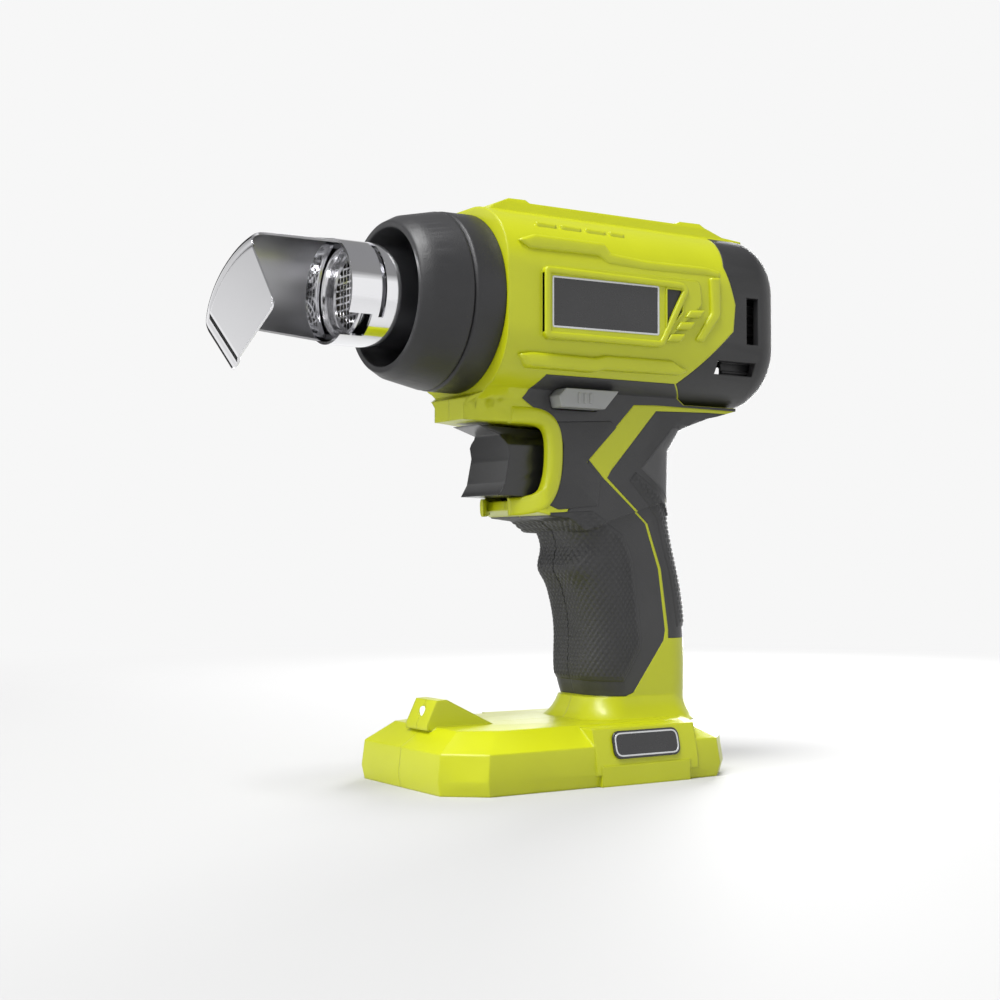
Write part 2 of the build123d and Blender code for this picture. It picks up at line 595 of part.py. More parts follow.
# ------------------------------------------------------------------ spoon deflector
def spoon_plane(x, slant=0.0):
    """A plane across the nozzle axis. Its y points to the spoon's middle, and slant leans it along x."""
    tilt = math.radians(SPOON_TILT)
    across = (slant, -math.sin(tilt), math.cos(tilt))
    facing = (-1, -slant * math.sin(tilt), slant * math.cos(tilt))
    return Plane(origin=(x, 0, AXIS_Z), x_dir=across, z_dir=facing)


def palm_section(x, outer_points, inner_points):
    """A thin crescent across the palm: an outer arc, an inner arc and two straight ends."""
    with BuildSketch(spoon_plane(x)) as crescent:
        with BuildLine():
            outer = ThreePointArc(*outer_points)
            inner = ThreePointArc(*inner_points)
            Line(outer @ 1, inner @ 1)
            Line(inner @ 0, outer @ 0)
        make_face()
    return crescent.sketch


def polar(radius, angle):
    """A point at an angle from the spoon plane's own y axis."""
    turn = math.radians(90 + angle)
    return (radius * math.cos(turn), radius * math.sin(turn))


def spoon_palm():
    """The half of the sleeve's wall that runs on forward, opening out, as far as the front plate."""
    with BuildPart() as palm:
        loft([
            palm_section(
                SLEEVE_FRONT_X + 1.0,
                [polar(SLEEVE_RADIUS, angle) for angle in PALM_ANGLES],
                [polar(SLEEVE_BORE, angle) for angle in PALM_ANGLES],
            ),
            palm_section(SPOON_FAR_X - 4.0, PALM_OUTER, PALM_INNER),
        ])
        with BuildSketch(spoon_plane(SPOON_X, SPOON_SLANT)):
            Rectangle(6 * SLEEVE_RADIUS, 6 * SLEEVE_RADIUS)
        extrude(amount=WIDE, mode=Mode.SUBTRACT)
    return palm.part


def spoon_plate():
    """The slanting front plate of the spoon, with its far edge turned back."""
    with BuildPart() as plate:
        with BuildSketch(spoon_plane(SPOON_X, SPOON_SLANT)) as face:
            with BuildLine():
                Polyline(*SPOON_PLAN, close=True)
            make_face()
            fillet(face.vertices(), 2.0)
        extrude(amount=-SPOON_SHEET)
        with BuildSketch(spoon_plane(SPOON_X, SPOON_SLANT)):
            with Locations((SPOON_PLAN[0][0] + SPOON_SHEET / 2, 0)):
                Rectangle(SPOON_SHEET, SPOON_LIP_LENGTH)
        extrude(amount=-SPOON_LIP)
    return plate.part


with BuildPart() as deflector:
    add(ring(SLEEVE_FRONT_X, SLEEVE_REAR_X - SLEEVE_FRONT_X, SLEEVE_RADIUS, SLEEVE_BORE))
    add(turned([
        (SLEEVE_REAR_X - 2.0, SLEEVE_BORE), (SLEEVE_REAR_X - 2.0, SLEEVE_RADIUS),
        (SLEEVE_REAR_X, SLEEVE_RADIUS + 1.4), (SLEEVE_REAR_X + 0.8, SLEEVE_RADIUS + 1.0),
        (SLEEVE_REAR_X + 0.2, SLEEVE_BORE + 0.6), (SLEEVE_REAR_X - 1.0, SLEEVE_BORE),
    ]))
    with BuildPart(mode=Mode.PRIVATE) as slot:
        add(ring(SLOT_X - SLOT_WIDTH / 2, SLOT_WIDTH, SLEEVE_RADIUS + 1.0, SLEEVE_BORE - 1.0))
        with Locations((SLOT_X, -WIDE / 2, AXIS_Z + SLOT_MIDDLE)):
            Box(2 * SLOT_WIDTH, WIDE, SLOT_HEIGHT, mode=Mode.INTERSECT)
    add(slot.part, mode=Mode.SUBTRACT)
    with Locations(Location((SLEEVE_FRONT_X + 2.0, 0, AXIS_Z), (90 + NOTCH_ANGLE, 0, 0))):
        Box(
            NOTCH_LENGTH, NOTCH_WIDTH, WIDE,
            align=(Align.CENTER, Align.CENTER, Align.MIN), mode=Mode.SUBTRACT,
        )
    add(spoon_palm())
    add(spoon_plate())
finish(deflector, "deflector")

with BuildPart() as deflector_ring:
    add(ring(RING_X, RING_LENGTH, SLEEVE_BORE - 0.05, TUBE_RADIUS + RUNNING_GAP))
    with Locations((RING_X + RING_LENGTH / 2, 0, AXIS_Z + SLEEVE_BORE)):
        Box(RING_LENGTH + 1, 2.0, 2.4, mode=Mode.SUBTRACT)
finish(deflector_ring, "deflector_ring")

# ------------------------------------------------------------------ fan and motor
with BuildPart() as fan_shroud:
    add(ring(SHROUD_X, MOTOR_FRONT_X - MOUNT_DEPTH - SHROUD_X, SHROUD_RADIUS, SHROUD_RADIUS - SHROUD_WALL))
finish(fan_shroud, "fan_shroud")

with BuildPart() as motor_mount:
    add(ring(MOTOR_FRONT_X - MOUNT_DEPTH, MOUNT_DEPTH, SHROUD_RADIUS, SHROUD_RADIUS - MOUNT_ARM))
    add(ring(MOTOR_FRONT_X - MOUNT_DEPTH, MOUNT_DEPTH, MOTOR_RADIUS, BUSH_RADIUS))
    with BuildSketch(along_x(MOTOR_FRONT_X - MOUNT_DEPTH)):
        with PolarLocations(0, 4, 45):
            Rectangle(SHROUD_RADIUS - MOUNT_ARM + 1.0, MOUNT_ARM, align=(Align.MIN, Align.CENTER))
        Circle(MOTOR_RADIUS - 4.0, mode=Mode.SUBTRACT)
    extrude(amount=MOUNT_DEPTH)
finish(motor_mount, "motor_mount")

with BuildPart() as motor:
    add(ring(MOTOR_FRONT_X, MOTOR_LENGTH, MOTOR_RADIUS, SHAFT_RADIUS + RUNNING_GAP))
    fillet(motor.faces().sort_by(Axis.X)[-1].edges().sort_by(SortBy.LENGTH)[-1], 1.5)
finish(motor, "motor")

with BuildPart() as motor_bush:
    add(ring(MOTOR_FRONT_X - 2 * MOUNT_DEPTH, 2 * MOUNT_DEPTH, BUSH_RADIUS, SHAFT_RADIUS + RUNNING_GAP))
finish(motor_bush, "motor_bush")

with BuildPart() as motor_shaft:
    add(ring(FAN_X, MOTOR_FRONT_X + MOTOR_LENGTH - 2.0 - FAN_X, SHAFT_RADIUS))
finish(motor_shaft, "motor_shaft")

with BuildPart() as fan:
    add(ring(FAN_X - 2.0, FAN_DEPTH - 2.0, HUB_RADIUS))
    add(ring(FAN_X, FAN_DEPTH, SHAFT_RADIUS), mode=Mode.SUBTRACT)
    for blade in range(FAN_BLADES):
        turn = blade * 360 / FAN_BLADES
        root = Plane(origin=(FAN_X + 3.0, 0, AXIS_Z)).rotated((turn, 0, 0))
        with BuildSketch(root.offset(HUB_RADIUS - 0.8)):
            with Locations(Rotation(0, 0, FAN_PITCH)):
                Rectangle(FAN_CHORD, FAN_SHEET)
        extrude(amount=FAN_RADIUS - HUB_RADIUS + 0.8)
finish(fan, "fan")

# ------------------------------------------------------------------ trigger group and slide
with BuildPart() as trigger:
    add(side_prism(TRIGGER_SIDE, TRIGGER_WIDTH / 2))
    with BuildSketch(Plane.YZ.offset(-16.0)):
        with Locations((0, TRIGGER_Z)):
            RectangleRounded(TRIGGER_WIDTH, 40, TRIGGER_EDGE)
    extrude(amount=31.0 + 16.0, mode=Mode.INTERSECT)
finish(trigger, "trigger")

with BuildPart() as trigger_switch:
    with Locations(((SWITCH_FRONT_X + SWITCH_REAR_X) / 2, 0, SWITCH_Z)):
        Box(SWITCH_REAR_X - SWITCH_FRONT_X, SWITCH_WIDTH, SWITCH_HEIGHT)
        chamfer(trigger_switch.edges().filter_by(Axis.Z), 1.0)
finish(trigger_switch, "trigger_switch")

with BuildPart() as trigger_spring:
    with BuildLine():
        coil = Helix(
            (SPRING_X1 - SPRING_X0) / SPRING_TURNS, SPRING_X1 - SPRING_X0, SPRING_RADIUS,
            center=(SPRING_X0, 0, SWITCH_Z), direction=(1, 0, 0),
        )
    with BuildSketch(Plane(origin=coil @ 0, z_dir=coil % 0)):
        Circle(SPRING_WIRE)
    sweep(path=coil, is_frenet=True)
finish(trigger_spring, "trigger_spring")

with BuildPart() as mode_slide:
    for y0, y1 in ((-SLIDE_OUT, -SLIDE_BAR), (SLIDE_BAR, SLIDE_IN)):
        with BuildSketch(Plane.XZ.offset(-y1)):
            with BuildLine():
                Polyline(*LEVER_SIDE, close=True)
            make_face()
        extrude(amount=y1 - y0)
    with Locations((SLIDE_BAR_X, 0, SLIDE_BAR_Z)):
        Box(SLIDE_BAR_LENGTH, 2 * SLIDE_BAR, SLIDE_BAR_HEIGHT)
finish(mode_slide, "mode_slide")

# ------------------------------------------------------------------ electrics
with BuildPart() as terminal_block:
    with Locations((TERMINAL_X, 0, TERMINAL_Z)):
        Box(TERMINAL_LENGTH, TERMINAL_WIDTH, TERMINAL_HEIGHT)
    chamfer(terminal_block.edges().filter_by(Axis.Z), 1.5)
finish(terminal_block, "terminal_block")

with BuildPart() as contact_blades:
    with Locations((TERMINAL_X, 0, TERMINAL_Z - TERMINAL_HEIGHT / 2)):
        with GridLocations(BLADE_PITCH, 0, 3, 1):
            Box(BLADE_LENGTH, BLADE_SHEET, BLADE_DROP, align=(Align.CENTER, Align.CENTER, Align.MAX))
finish(contact_blades, "contact_blades")

with BuildPart() as control_board:
    with Locations((BOARD_X, 0, BOARD_Z)):
        Box(BOARD_LENGTH, BOARD_WIDTH, BOARD_SHEET)
finish(control_board, "control_board")

with BuildPart() as board_parts:
    for x, y, length, width, height in BOARD_PARTS:
        with Locations((BOARD_X + x, y, BOARD_Z + BOARD_SHEET / 2)):
            Box(length, width, height, align=(Align.CENTER, Align.CENTER, Align.MIN))
finish(board_parts, "board_parts")


def lead(points, radii):
    """An insulated lead along straight runs joined by tangent arcs."""
    with BuildPart() as wire:
        with BuildLine() as path:
            FilletPolyline(*points, radius=radii)
        with BuildSketch(Plane(origin=path.line @ 0, z_dir=path.line % 0)):
            Circle(LEAD_RADIUS)
        sweep(path=path.line)
    return wire.part


with BuildPart() as power_leads:
    lead_x, board_x = SWITCH_FRONT_X + 6.0, BOARD_X + 10.0
    switch_low, switch_high = SWITCH_Z - SWITCH_HEIGHT / 2, SWITCH_Z + SWITCH_HEIGHT / 2
    block_x, block_top = TERMINAL_X - 6.0, TERMINAL_Z + TERMINAL_HEIGHT / 2
    for side in (-1, 1):
        y = side * LEAD_Y
        add(lead([
            (block_x, y, block_top), (block_x, y, block_top + 7.0), (lead_x, y, switch_low - 6.0),
            (lead_x, y, switch_low),
        ], LEAD_BEND))
        add(lead([
            (lead_x, y, switch_high), (lead_x, y, LEAD_Z), (board_x, y, LEAD_Z),
            (board_x, y, BOARD_Z - BOARD_SHEET / 2),
        ], LEAD_BEND))
finish(power_leads, "power_leads")
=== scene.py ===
import json
import math

import bmesh
import bpy
import numpy as np
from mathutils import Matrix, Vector
from mathutils.bvhtree import BVHTree

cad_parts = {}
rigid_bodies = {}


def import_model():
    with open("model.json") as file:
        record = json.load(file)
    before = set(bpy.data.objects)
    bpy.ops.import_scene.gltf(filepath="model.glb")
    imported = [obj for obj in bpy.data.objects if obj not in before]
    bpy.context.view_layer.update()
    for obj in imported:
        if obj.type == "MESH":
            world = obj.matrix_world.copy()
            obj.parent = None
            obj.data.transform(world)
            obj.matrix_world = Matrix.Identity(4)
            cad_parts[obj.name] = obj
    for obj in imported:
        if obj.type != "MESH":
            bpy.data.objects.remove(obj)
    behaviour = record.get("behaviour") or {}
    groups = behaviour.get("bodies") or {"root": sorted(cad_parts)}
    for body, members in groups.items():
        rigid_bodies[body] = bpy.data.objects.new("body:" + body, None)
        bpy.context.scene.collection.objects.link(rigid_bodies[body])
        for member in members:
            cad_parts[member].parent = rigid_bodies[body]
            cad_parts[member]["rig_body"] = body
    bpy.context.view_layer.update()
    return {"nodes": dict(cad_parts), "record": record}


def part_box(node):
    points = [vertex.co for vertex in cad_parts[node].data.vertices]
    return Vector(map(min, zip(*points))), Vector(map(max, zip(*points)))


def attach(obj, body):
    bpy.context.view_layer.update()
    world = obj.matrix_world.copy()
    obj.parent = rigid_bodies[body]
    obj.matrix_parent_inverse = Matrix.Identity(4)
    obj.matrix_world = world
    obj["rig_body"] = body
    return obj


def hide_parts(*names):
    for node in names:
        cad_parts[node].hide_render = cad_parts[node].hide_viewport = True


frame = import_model()
NODES = frame["nodes"]
SCENE = bpy.context.scene
MM = 0.001

# ------------------------------------------------------------------ places taken from the frame
# Side-view outlines below are (x, z) in millimetres in the row frame.
COLLAR_LOW, COLLAR_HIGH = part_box("collar_front")
AXIS_Z = (COLLAR_LOW.z + COLLAR_HIGH.z) / 2 / MM
TOP_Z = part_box("housing_left")[1].z / MM
HALF_SIDE = -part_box("name_plate_left")[0].y / MM + 0.2  # just outside the name plate's face


# ------------------------------------------------------------------ materials
def surface(name, light, dark, rough, grain=1500.0, relief=0.05, metallic=0.0, coat=0.0, patch=60.0,
            rough_span=0.1, painted_edge_highlight=0.0, specular=0.5, edge=0.0):
    """A procedural finish: two close colours over slow noise, uneven gloss, a fine moulded grain, and edges
    shaded as if rounded by edge millimetres. With painted_edge_highlight set, pointed edges are lightened as a
    painted highlight."""
    material = bpy.data.materials.new(name)
    material.use_nodes = True
    tree = material.node_tree
    shader = tree.nodes["Principled BSDF"]
    where = tree.nodes.new("ShaderNodeTexCoord")

    def noise(scale, detail):
        node = tree.nodes.new("ShaderNodeTexNoise")
        node.inputs["Scale"].default_value = scale
        node.inputs["Detail"].default_value = detail
        tree.links.new(where.outputs["Object"], node.inputs["Vector"])
        return node

    slow = noise(patch, 3.0)
    mix = tree.nodes.new("ShaderNodeMix")
    mix.data_type = "RGBA"
    mix.inputs["A"].default_value = (*dark, 1)
    mix.inputs["B"].default_value = (*light, 1)
    tree.links.new(slow.outputs["Fac"], mix.inputs["Factor"])
    colour = mix.outputs["Result"]
    # painted highlight: convex edges are lightened, by how pointed they are, towards a brighter copy of the
    # light colour
    if painted_edge_highlight:
        pointed = tree.nodes.new("ShaderNodeNewGeometry")
        ramp = tree.nodes.new("ShaderNodeMapRange")
        ramp.inputs["From Min"].default_value = 0.53
        ramp.inputs["From Max"].default_value = 0.66
        ramp.inputs["To Max"].default_value = painted_edge_highlight
        tree.links.new(pointed.outputs["Pointiness"], ramp.inputs["Value"])
        painted_edge_mix = tree.nodes.new("ShaderNodeMix")
        painted_edge_mix.data_type = "RGBA"
        painted_edge_mix.inputs["B"].default_value = (*[min(1.0, c * 1.6 + 0.02) for c in light], 1)
        tree.links.new(colour, painted_edge_mix.inputs["A"])
        tree.links.new(ramp.outputs["Result"], painted_edge_mix.inputs["Factor"])
        colour = painted_edge_mix.outputs["Result"]
    tree.links.new(colour, shader.inputs["Base Color"])

    gloss = tree.nodes.new("ShaderNodeMapRange")
    gloss.inputs["To Min"].default_value = max(0.02, rough - rough_span / 2)
    gloss.inputs["To Max"].default_value = rough + rough_span / 2
    tree.links.new(noise(patch * 6, 4.0).outputs["Fac"], gloss.inputs["Value"])
    tree.links.new(gloss.outputs["Result"], shader.inputs["Roughness"])

    fine = noise(grain, 2.0)
    bump = tree.nodes.new("ShaderNodeBump")
    bump.inputs["Strength"].default_value = 0.6
    bump.inputs["Distance"].default_value = relief * MM
    tree.links.new(fine.outputs["Fac"], bump.inputs["Height"])
    if edge:
        soft_edge = tree.nodes.new("ShaderNodeBevel")
        soft_edge.samples = 6
        soft_edge.inputs["Radius"].default_value = edge * MM
        tree.links.new(soft_edge.outputs["Normal"], bump.inputs["Normal"])
    tree.links.new(bump.outputs["Normal"], shader.inputs["Normal"])

    shader.inputs["Metallic"].default_value = metallic
    shader.inputs["Coat Weight"].default_value = coat
    shader.inputs["Coat Roughness"].default_value = 0.12
    shader.inputs["Specular IOR Level"].default_value = specular
    return material


FINISH = {
    "green_shell": surface("lime_shell", (0.465, 0.500, 0.004), (0.415, 0.445, 0.002), 0.36, 1800, 0.03,
                           rough_span=0.08, coat=0.12, edge=1.1),
    # the dark plastics below carry a painted highlight on their pointed edges
    "dark_grip": surface("soft_grip", (0.036, 0.036, 0.038), (0.024, 0.024, 0.025), 0.42, 2600, 0.14,
                         painted_edge_highlight=0.12, specular=0.45, edge=0.8),
    # painted light: a lighter copy of the grip rubber, standing in for the light that the web's rear-curved
    # face catches
    "grip_web": surface("soft_grip_web_painted_lit", (0.072, 0.072, 0.075), (0.052, 0.052, 0.054), 0.44, 2600, 0.08),
    "plate": surface("dark_plate", (0.022, 0.022, 0.024), (0.012, 0.012, 0.013), 0.28, 900, 0.01, coat=0.3),
    "plate_rim": surface("plate_rim", (0.62, 0.63, 0.64), (0.5, 0.51, 0.52), 0.3, 900, 0.01, metallic=0.4),
    "dark_plastic": surface("black_cap", (0.024, 0.024, 0.025), (0.014, 0.014, 0.015), 0.42, 2400, 0.12,
                            painted_edge_highlight=0.15, specular=0.45, edge=0.9),
    "bright_steel": surface("zinc_steel", (0.62, 0.62, 0.64), (0.5, 0.5, 0.52), 0.3, 3000, 0.02, metallic=1.0),
    "collar": surface("black_collar", (0.026, 0.026, 0.028), (0.016, 0.016, 0.017), 0.42, 2200, 0.14,
                      painted_edge_highlight=0.12, specular=0.45, edge=0.9),
    "tube_steel": surface("tube_steel", (0.72, 0.72, 0.74), (0.6, 0.6, 0.61), 0.16, 1200, 0.005, metallic=1.0),
    "mica": surface("mica", (0.72, 0.66, 0.5), (0.6, 0.52, 0.36), 0.45, 700, 0.05),
    "coil_wire": surface("coil_wire", (0.34, 0.32, 0.31), (0.22, 0.2, 0.2), 0.4, 2000, 0.02, metallic=1.0),
    "spoon_chrome": surface("spoon_chrome", (0.90, 0.90, 0.92), (0.82, 0.82, 0.84), 0.07, 500, 0.001,
                            metallic=1.0, rough_span=0.04, patch=30),
    # the inside's satin roughness is its finish; its darker base colour is painted shade inside the concave
    # sleeve
    "spoon_satin_painted_shade": surface("spoon_satin_painted_shade", (0.42, 0.42, 0.43), (0.32, 0.32, 0.33), 0.36, 500, 0.002,
                           metallic=1.0, rough_span=0.06, patch=30),
    "motor_can": surface("motor_can", (0.55, 0.55, 0.57), (0.42, 0.42, 0.44), 0.35, 1500, 0.02, metallic=1.0),
    "bush_brass": surface("bush_brass", (0.78, 0.62, 0.30), (0.62, 0.47, 0.2), 0.3, 1500, 0.02, metallic=1.0),
    "fan_plastic": surface("fan_nylon", (0.08, 0.08, 0.085), (0.05, 0.05, 0.052), 0.5, 2000, 0.05),
    "trigger_plastic": surface("trigger_black", (0.016, 0.016, 0.017), (0.009, 0.009, 0.010), 0.30, 2200,
                               0.03, coat=0.35, edge=1.0),
    "grey_slide": surface("slide_grey", (0.30, 0.305, 0.305), (0.24, 0.245, 0.245), 0.42, 2000, 0.03, edge=0.5),
    "board": surface("board_green", (0.04, 0.22, 0.1), (0.02, 0.14, 0.06), 0.4, 1200, 0.03),
    "lead_rubber": surface("lead_red", (0.45, 0.04, 0.04), (0.3, 0.02, 0.02), 0.5, 1500, 0.03),
    "lens": surface("lens_clear", (0.9, 0.92, 0.94), (0.8, 0.83, 0.86), 0.08, 900, 0.005, coat=0.6),
}
SLOT_OF = {part["node"]: part["material_slot"] for part in frame["record"]["subparts"]}


# ------------------------------------------------------------------ mesh helpers
def new_object(name, mesh, slot, body, material=None):
    """Links a mesh as a visible piece of the tool, with its finish and the body that it moves with."""
    piece = bpy.data.objects.new(name, mesh)
    SCENE.collection.objects.link(piece)
    mesh.materials.clear()
    mesh.materials.append(FINISH[material or slot])
    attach(piece, body)
    return piece


def body_of(node):
    return NODES[node]["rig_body"]


def smooth_by_angle(bm, degrees):
    for face in bm.faces:
        face.smooth = True
    for edge in bm.edges:
        edge.smooth = len(edge.link_faces) == 2 and edge.calc_face_angle(0.0) < math.radians(degrees)


def rounded_edges(piece, width, segments=2, degrees=28.0):
    """Rounds a piece's sharp edges by width millimetres."""
    bevel = piece.modifiers.new("edges", "BEVEL")
    bevel.width = width * MM
    bevel.segments = segments
    bevel.limit_method = "ANGLE"
    bevel.angle_limit = math.radians(degrees)
    bevel.use_clamp_overlap = True
    bevel.harden_normals = True
    return piece


def add_cuts(bm, axis, start, stop, step):
    """Cuts the faces along evenly spaced planes, so that they can be bent."""
    normal = Vector([1.0 if k == axis else 0.0 for k in range(3)])
    for place in np.arange(start, stop, step):
        bmesh.ops.bisect_plane(
            bm, geom=bm.verts[:] + bm.edges[:] + bm.faces[:], plane_co=normal * place * MM, plane_no=normal,
        )


NECK_REAR = ((92.0, 69.0), (97.0, 68.0), (122.0, 68.2), (130.0, 71.0), (135.0, 84.0), (138.5, 97.0))
NECK_HALF = 20.0


def eased(value):
    value = max(0.0, min(1.0, value))
    return value * value * (3 - 2 * value)


def pinch(x, z):
    """How far the prow under the nozzle and the trigger guard narrow towards their front, as a factor on y."""
    if 106.0 < z < 143.0:
        return 1.0 - 0.50 * eased((6.0 - x) / 30.0) * eased((143.0 - z) / 7.0) * eased((z - 106.0) / 8.0)
    if 94.0 < z <= 106.0:
        return 1.0 - 0.50 * eased((8.0 - x) / 11.0) * eased((106.0 - z) / 3.0)
    return 1.0


def shape_handle(bm):
    """Narrows the guard, rounds the neck's rear corners, and swells the grip's front between the fingers."""
    add_cuts(bm, 0, -34.0, 20.0, 2.0)
    add_cuts(bm, 0, 54.0, 72.0, 1.5)
    add_cuts(bm, 1, -19.0, 19.5, 2.0)
    add_cuts(bm, 2, 64.0, 143.5, 2.0)
    heights, rears = zip(*NECK_REAR)
    for vert in bm.verts:
        x, y, z = vert.co / MM
        if abs(y) < 20.5:
            y *= pinch(x, z)
        if 92.0 < z < 136.0:
            radius = float(np.interp(z, (92.0, 122.0, 136.0), (12.0, 11.0, 2.0)))
            cx, cy = float(np.interp(z, heights, rears)) - radius, NECK_HALF - radius
            dx, dy = x - cx, abs(y) - cy
            reach = math.hypot(dx, dy)
            if dx > 0 and dy > 0 and reach > radius and reach < radius + 9.0:
                x, y = cx + dx * radius / reach, math.copysign(cy + dy * radius / reach, y)
        if x < 36.0 and 62.0 < z < 96.0:
            swell = 2.2 * math.exp(-((z - 77.0) / 4.2) ** 2) - 1.0 * math.exp(-((z - 86.5) / 4.0) ** 2)
            x -= swell * max(0.0, min(1.0, (36.0 - x) / 8.0))
        vert.co = Vector((x, y, z)) * MM


def widen_trigger(bm):
    """Fills the trigger out to both sides below the prow, ahead of its stem."""
    add_cuts(bm, 0, -20.0, 24.0, 1.5)
    add_cuts(bm, 2, 98.0, 134.0, 1.5)
    for vert in bm.verts:
        x, y, z = vert.co / MM
        wide = 1.0 + 0.55 * eased((15.0 - x) / 2.5) * eased((126.0 - z) / 4.0)
        vert.co = Vector((x, y * wide, z)) * MM


def cad_piece(node, width=0.0, segments=2, material=None, keep=None):
    """The piece's own CAD surface, cleaned of its flat triangles, with its edges rounded by width."""
    mesh = NODES[node].data.copy()
    for name in ("custom_normal", "sharp_face", "sharp_edge"):
        if name in mesh.attributes:
            mesh.attributes.remove(mesh.attributes[name])
    bm = bmesh.new()
    bm.from_mesh(mesh)
    bmesh.ops.remove_doubles(bm, verts=bm.verts, dist=0.004 * MM)
    bmesh.ops.dissolve_degenerate(bm, edges=bm.edges, dist=0.004 * MM)
    if keep:
        keep(bm)
    bmesh.ops.dissolve_limit(bm, angle_limit=math.radians(0.6), verts=bm.verts, edges=bm.edges)
    smooth_by_angle(bm, 28.0)
    bm.to_mesh(mesh)
    bm.free()
    piece = new_object(f"{node}_skin", mesh, SLOT_OF[node], body_of(node), material)
    if width:
        rounded_edges(piece, width, segments)
    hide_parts(node)
    return piece


def offset_outline(points, amount):
    """The closed outline moved inwards by amount, corner by corner."""
    pts = [Vector(p) for p in points]
    area = sum(a.x * b.y - b.x * a.y for a, b in zip(pts, pts[1:] + pts[:1]))
    turn = 1.0 if area > 0 else -1.0
    moved = []
    for i, point in enumerate(pts):
        before = (point - pts[i - 1]).normalized()
        after = (pts[(i + 1) % len(pts)] - point).normalized()
        n1 = Vector((-before.y, before.x)) * turn
        n2 = Vector((-after.y, after.x)) * turn
        middle = (n1 + n2).normalized()
        moved.append(point + middle * (amount / max(0.35, middle.dot(n1))))
    return moved


def round_outline(points, radius, steps=4):
    """The closed outline with each corner rounded."""
    pts = [Vector(p) for p in points]
    rounded = []
    for i, point in enumerate(pts):
        to_before, to_after = pts[i - 1] - point, pts[(i + 1) % len(pts)] - point
        reach = min(radius, 0.45 * to_before.length, 0.45 * to_after.length)
        start = point + to_before.normalized() * reach
        end = point + to_after.normalized() * reach
        for k in range(steps + 1):
            t = k / steps
            rounded.append(start * (1 - t) ** 2 + point * 2 * t * (1 - t) + end * t ** 2)
    return rounded


def inset_ring(outline, inset, corner, steps=4):
    """The outline moved inwards and then rounded, so that every ring has the same number of points."""
    return round_outline(offset_outline(outline, inset), max(0.15, corner - inset), steps)


def loops_mesh(name, loops, closed_ring=False, sharp=40.0):
    """A mesh skinned over closed loops of points, in millimetres, closed at both ends or into a ring."""
    bm = bmesh.new()
    rows = [[bm.verts.new(Vector(p) * MM) for p in loop] for loop in loops]
    count = len(rows[0])
    if closed_ring:
        rows.append(rows[0])
    for low, high in zip(rows, rows[1:]):
        for i in range(count):
            j = (i + 1) % count
            bm.faces.new((low[i], low[j], high[j], high[i]))
    if not closed_ring:
        bm.faces.new(rows[-1])
        bm.faces.new(list(reversed(rows[0])))
    bmesh.ops.recalc_face_normals(bm, faces=bm.faces)
    bmesh.ops.triangulate(bm, faces=[f for f in bm.faces if len(f.verts) > 4])
    smooth_by_angle(bm, sharp)
    mesh = bpy.data.meshes.new(name)
    bm.to_mesh(mesh)
    bm.free()
    return mesh


PAD_EDGE = ((0.0, 1.0), (0.12, 0.55), (0.45, 0.15), (1.0, 0.0))  # inset and drop of a rounded chamfer


def pad_loops(outline, base, top, chamfer, place, corner):
    """Closed loops up the wall of a flat pad and over its rounded chamfer."""
    levels = [(0.0, base)] + [(chamfer * inset, top - chamfer * drop) for inset, drop in PAD_EDGE]
    return [[place(p, height) for p in inset_ring(outline, inset, corner)] for inset, height in levels]


def side_pad(name, outline, base, top, chamfer, side, slot="green_shell", material=None, corner=0.6,
             body="housing"):
    """A raised moulding on one side: a flat pad with a chamfered border, from y = base out to y = top."""
    loops = pad_loops(outline, base, top, chamfer, lambda p, y: (p.x, side * y, p.y), corner)
    return new_object(name, loops_mesh(name, loops), slot, body, material)


def frame_levels(width, base, top, chamfer):
    """Inset and height of each loop across a raised ring, from its outer foot to its inner foot."""
    rise = [(chamfer * inset, top - chamfer * drop) for inset, drop in PAD_EDGE]
    return [(0, base), *rise, *[(width - inset, height) for inset, height in reversed(rise)], (width, base)]


def side_frame(name, outline, width, base, top, chamfer, side, slot="green_shell", material=None, corner=2.0):
    """A raised ring that follows an outline on one side."""
    loops = [
        [(p.x, side * y, p.y) for p in inset_ring(outline, inset, corner, 5)]
        for inset, y in frame_levels(width, base, top, chamfer)
    ]
    return new_object(name, loops_mesh(name, loops, closed_ring=True), slot, "housing", material)


# ------------------------------------------------------------------ pieces carried over with rounded edges
GRIP_SKINS = {}
for word in ("left", "right"):
    GRIP_SKINS[word] = [
        cad_piece(f"{node}_{word}", 0.5, 2, keep=shape_handle)
        for node in ("housing", "grip_front", "grip_rear")
    ]
    cad_piece(f"name_plate_{word}", 0.2)
    cad_piece(f"side_window_{word}", 0.2)
    cad_piece(f"foot_badge_{word}", 0.3)
    cad_piece(f"battery_catch_{word}", 0.3)
cad_piece("rear_cap", 0.5)
cad_piece("collar_front", 0.4)
cad_piece("collar_rear", 0.4)
cad_piece("outlet_tube", 0.1)
cad_piece("trigger", 1.2, 3, keep=widen_trigger)
cad_piece("mode_slide", 0.4)
cad_piece("lamp_lens", 0.3)
for node in ("outlet_mesh", "mica_tube", "mica_cross", "heating_coil", "heater_duct", "deflector_ring",
             "fan_shroud", "motor_mount", "motor", "motor_bush", "motor_shaft", "fan", "trigger_switch",
             "terminal_block", "contact_blades", "control_board", "board_parts", "power_leads",
             "lamp_board", "housing_screws", "trigger_spring"):
    mesh = NODES[node].data
    mesh.materials.clear()
    mesh.materials.append(FINISH[SLOT_OF[node]])

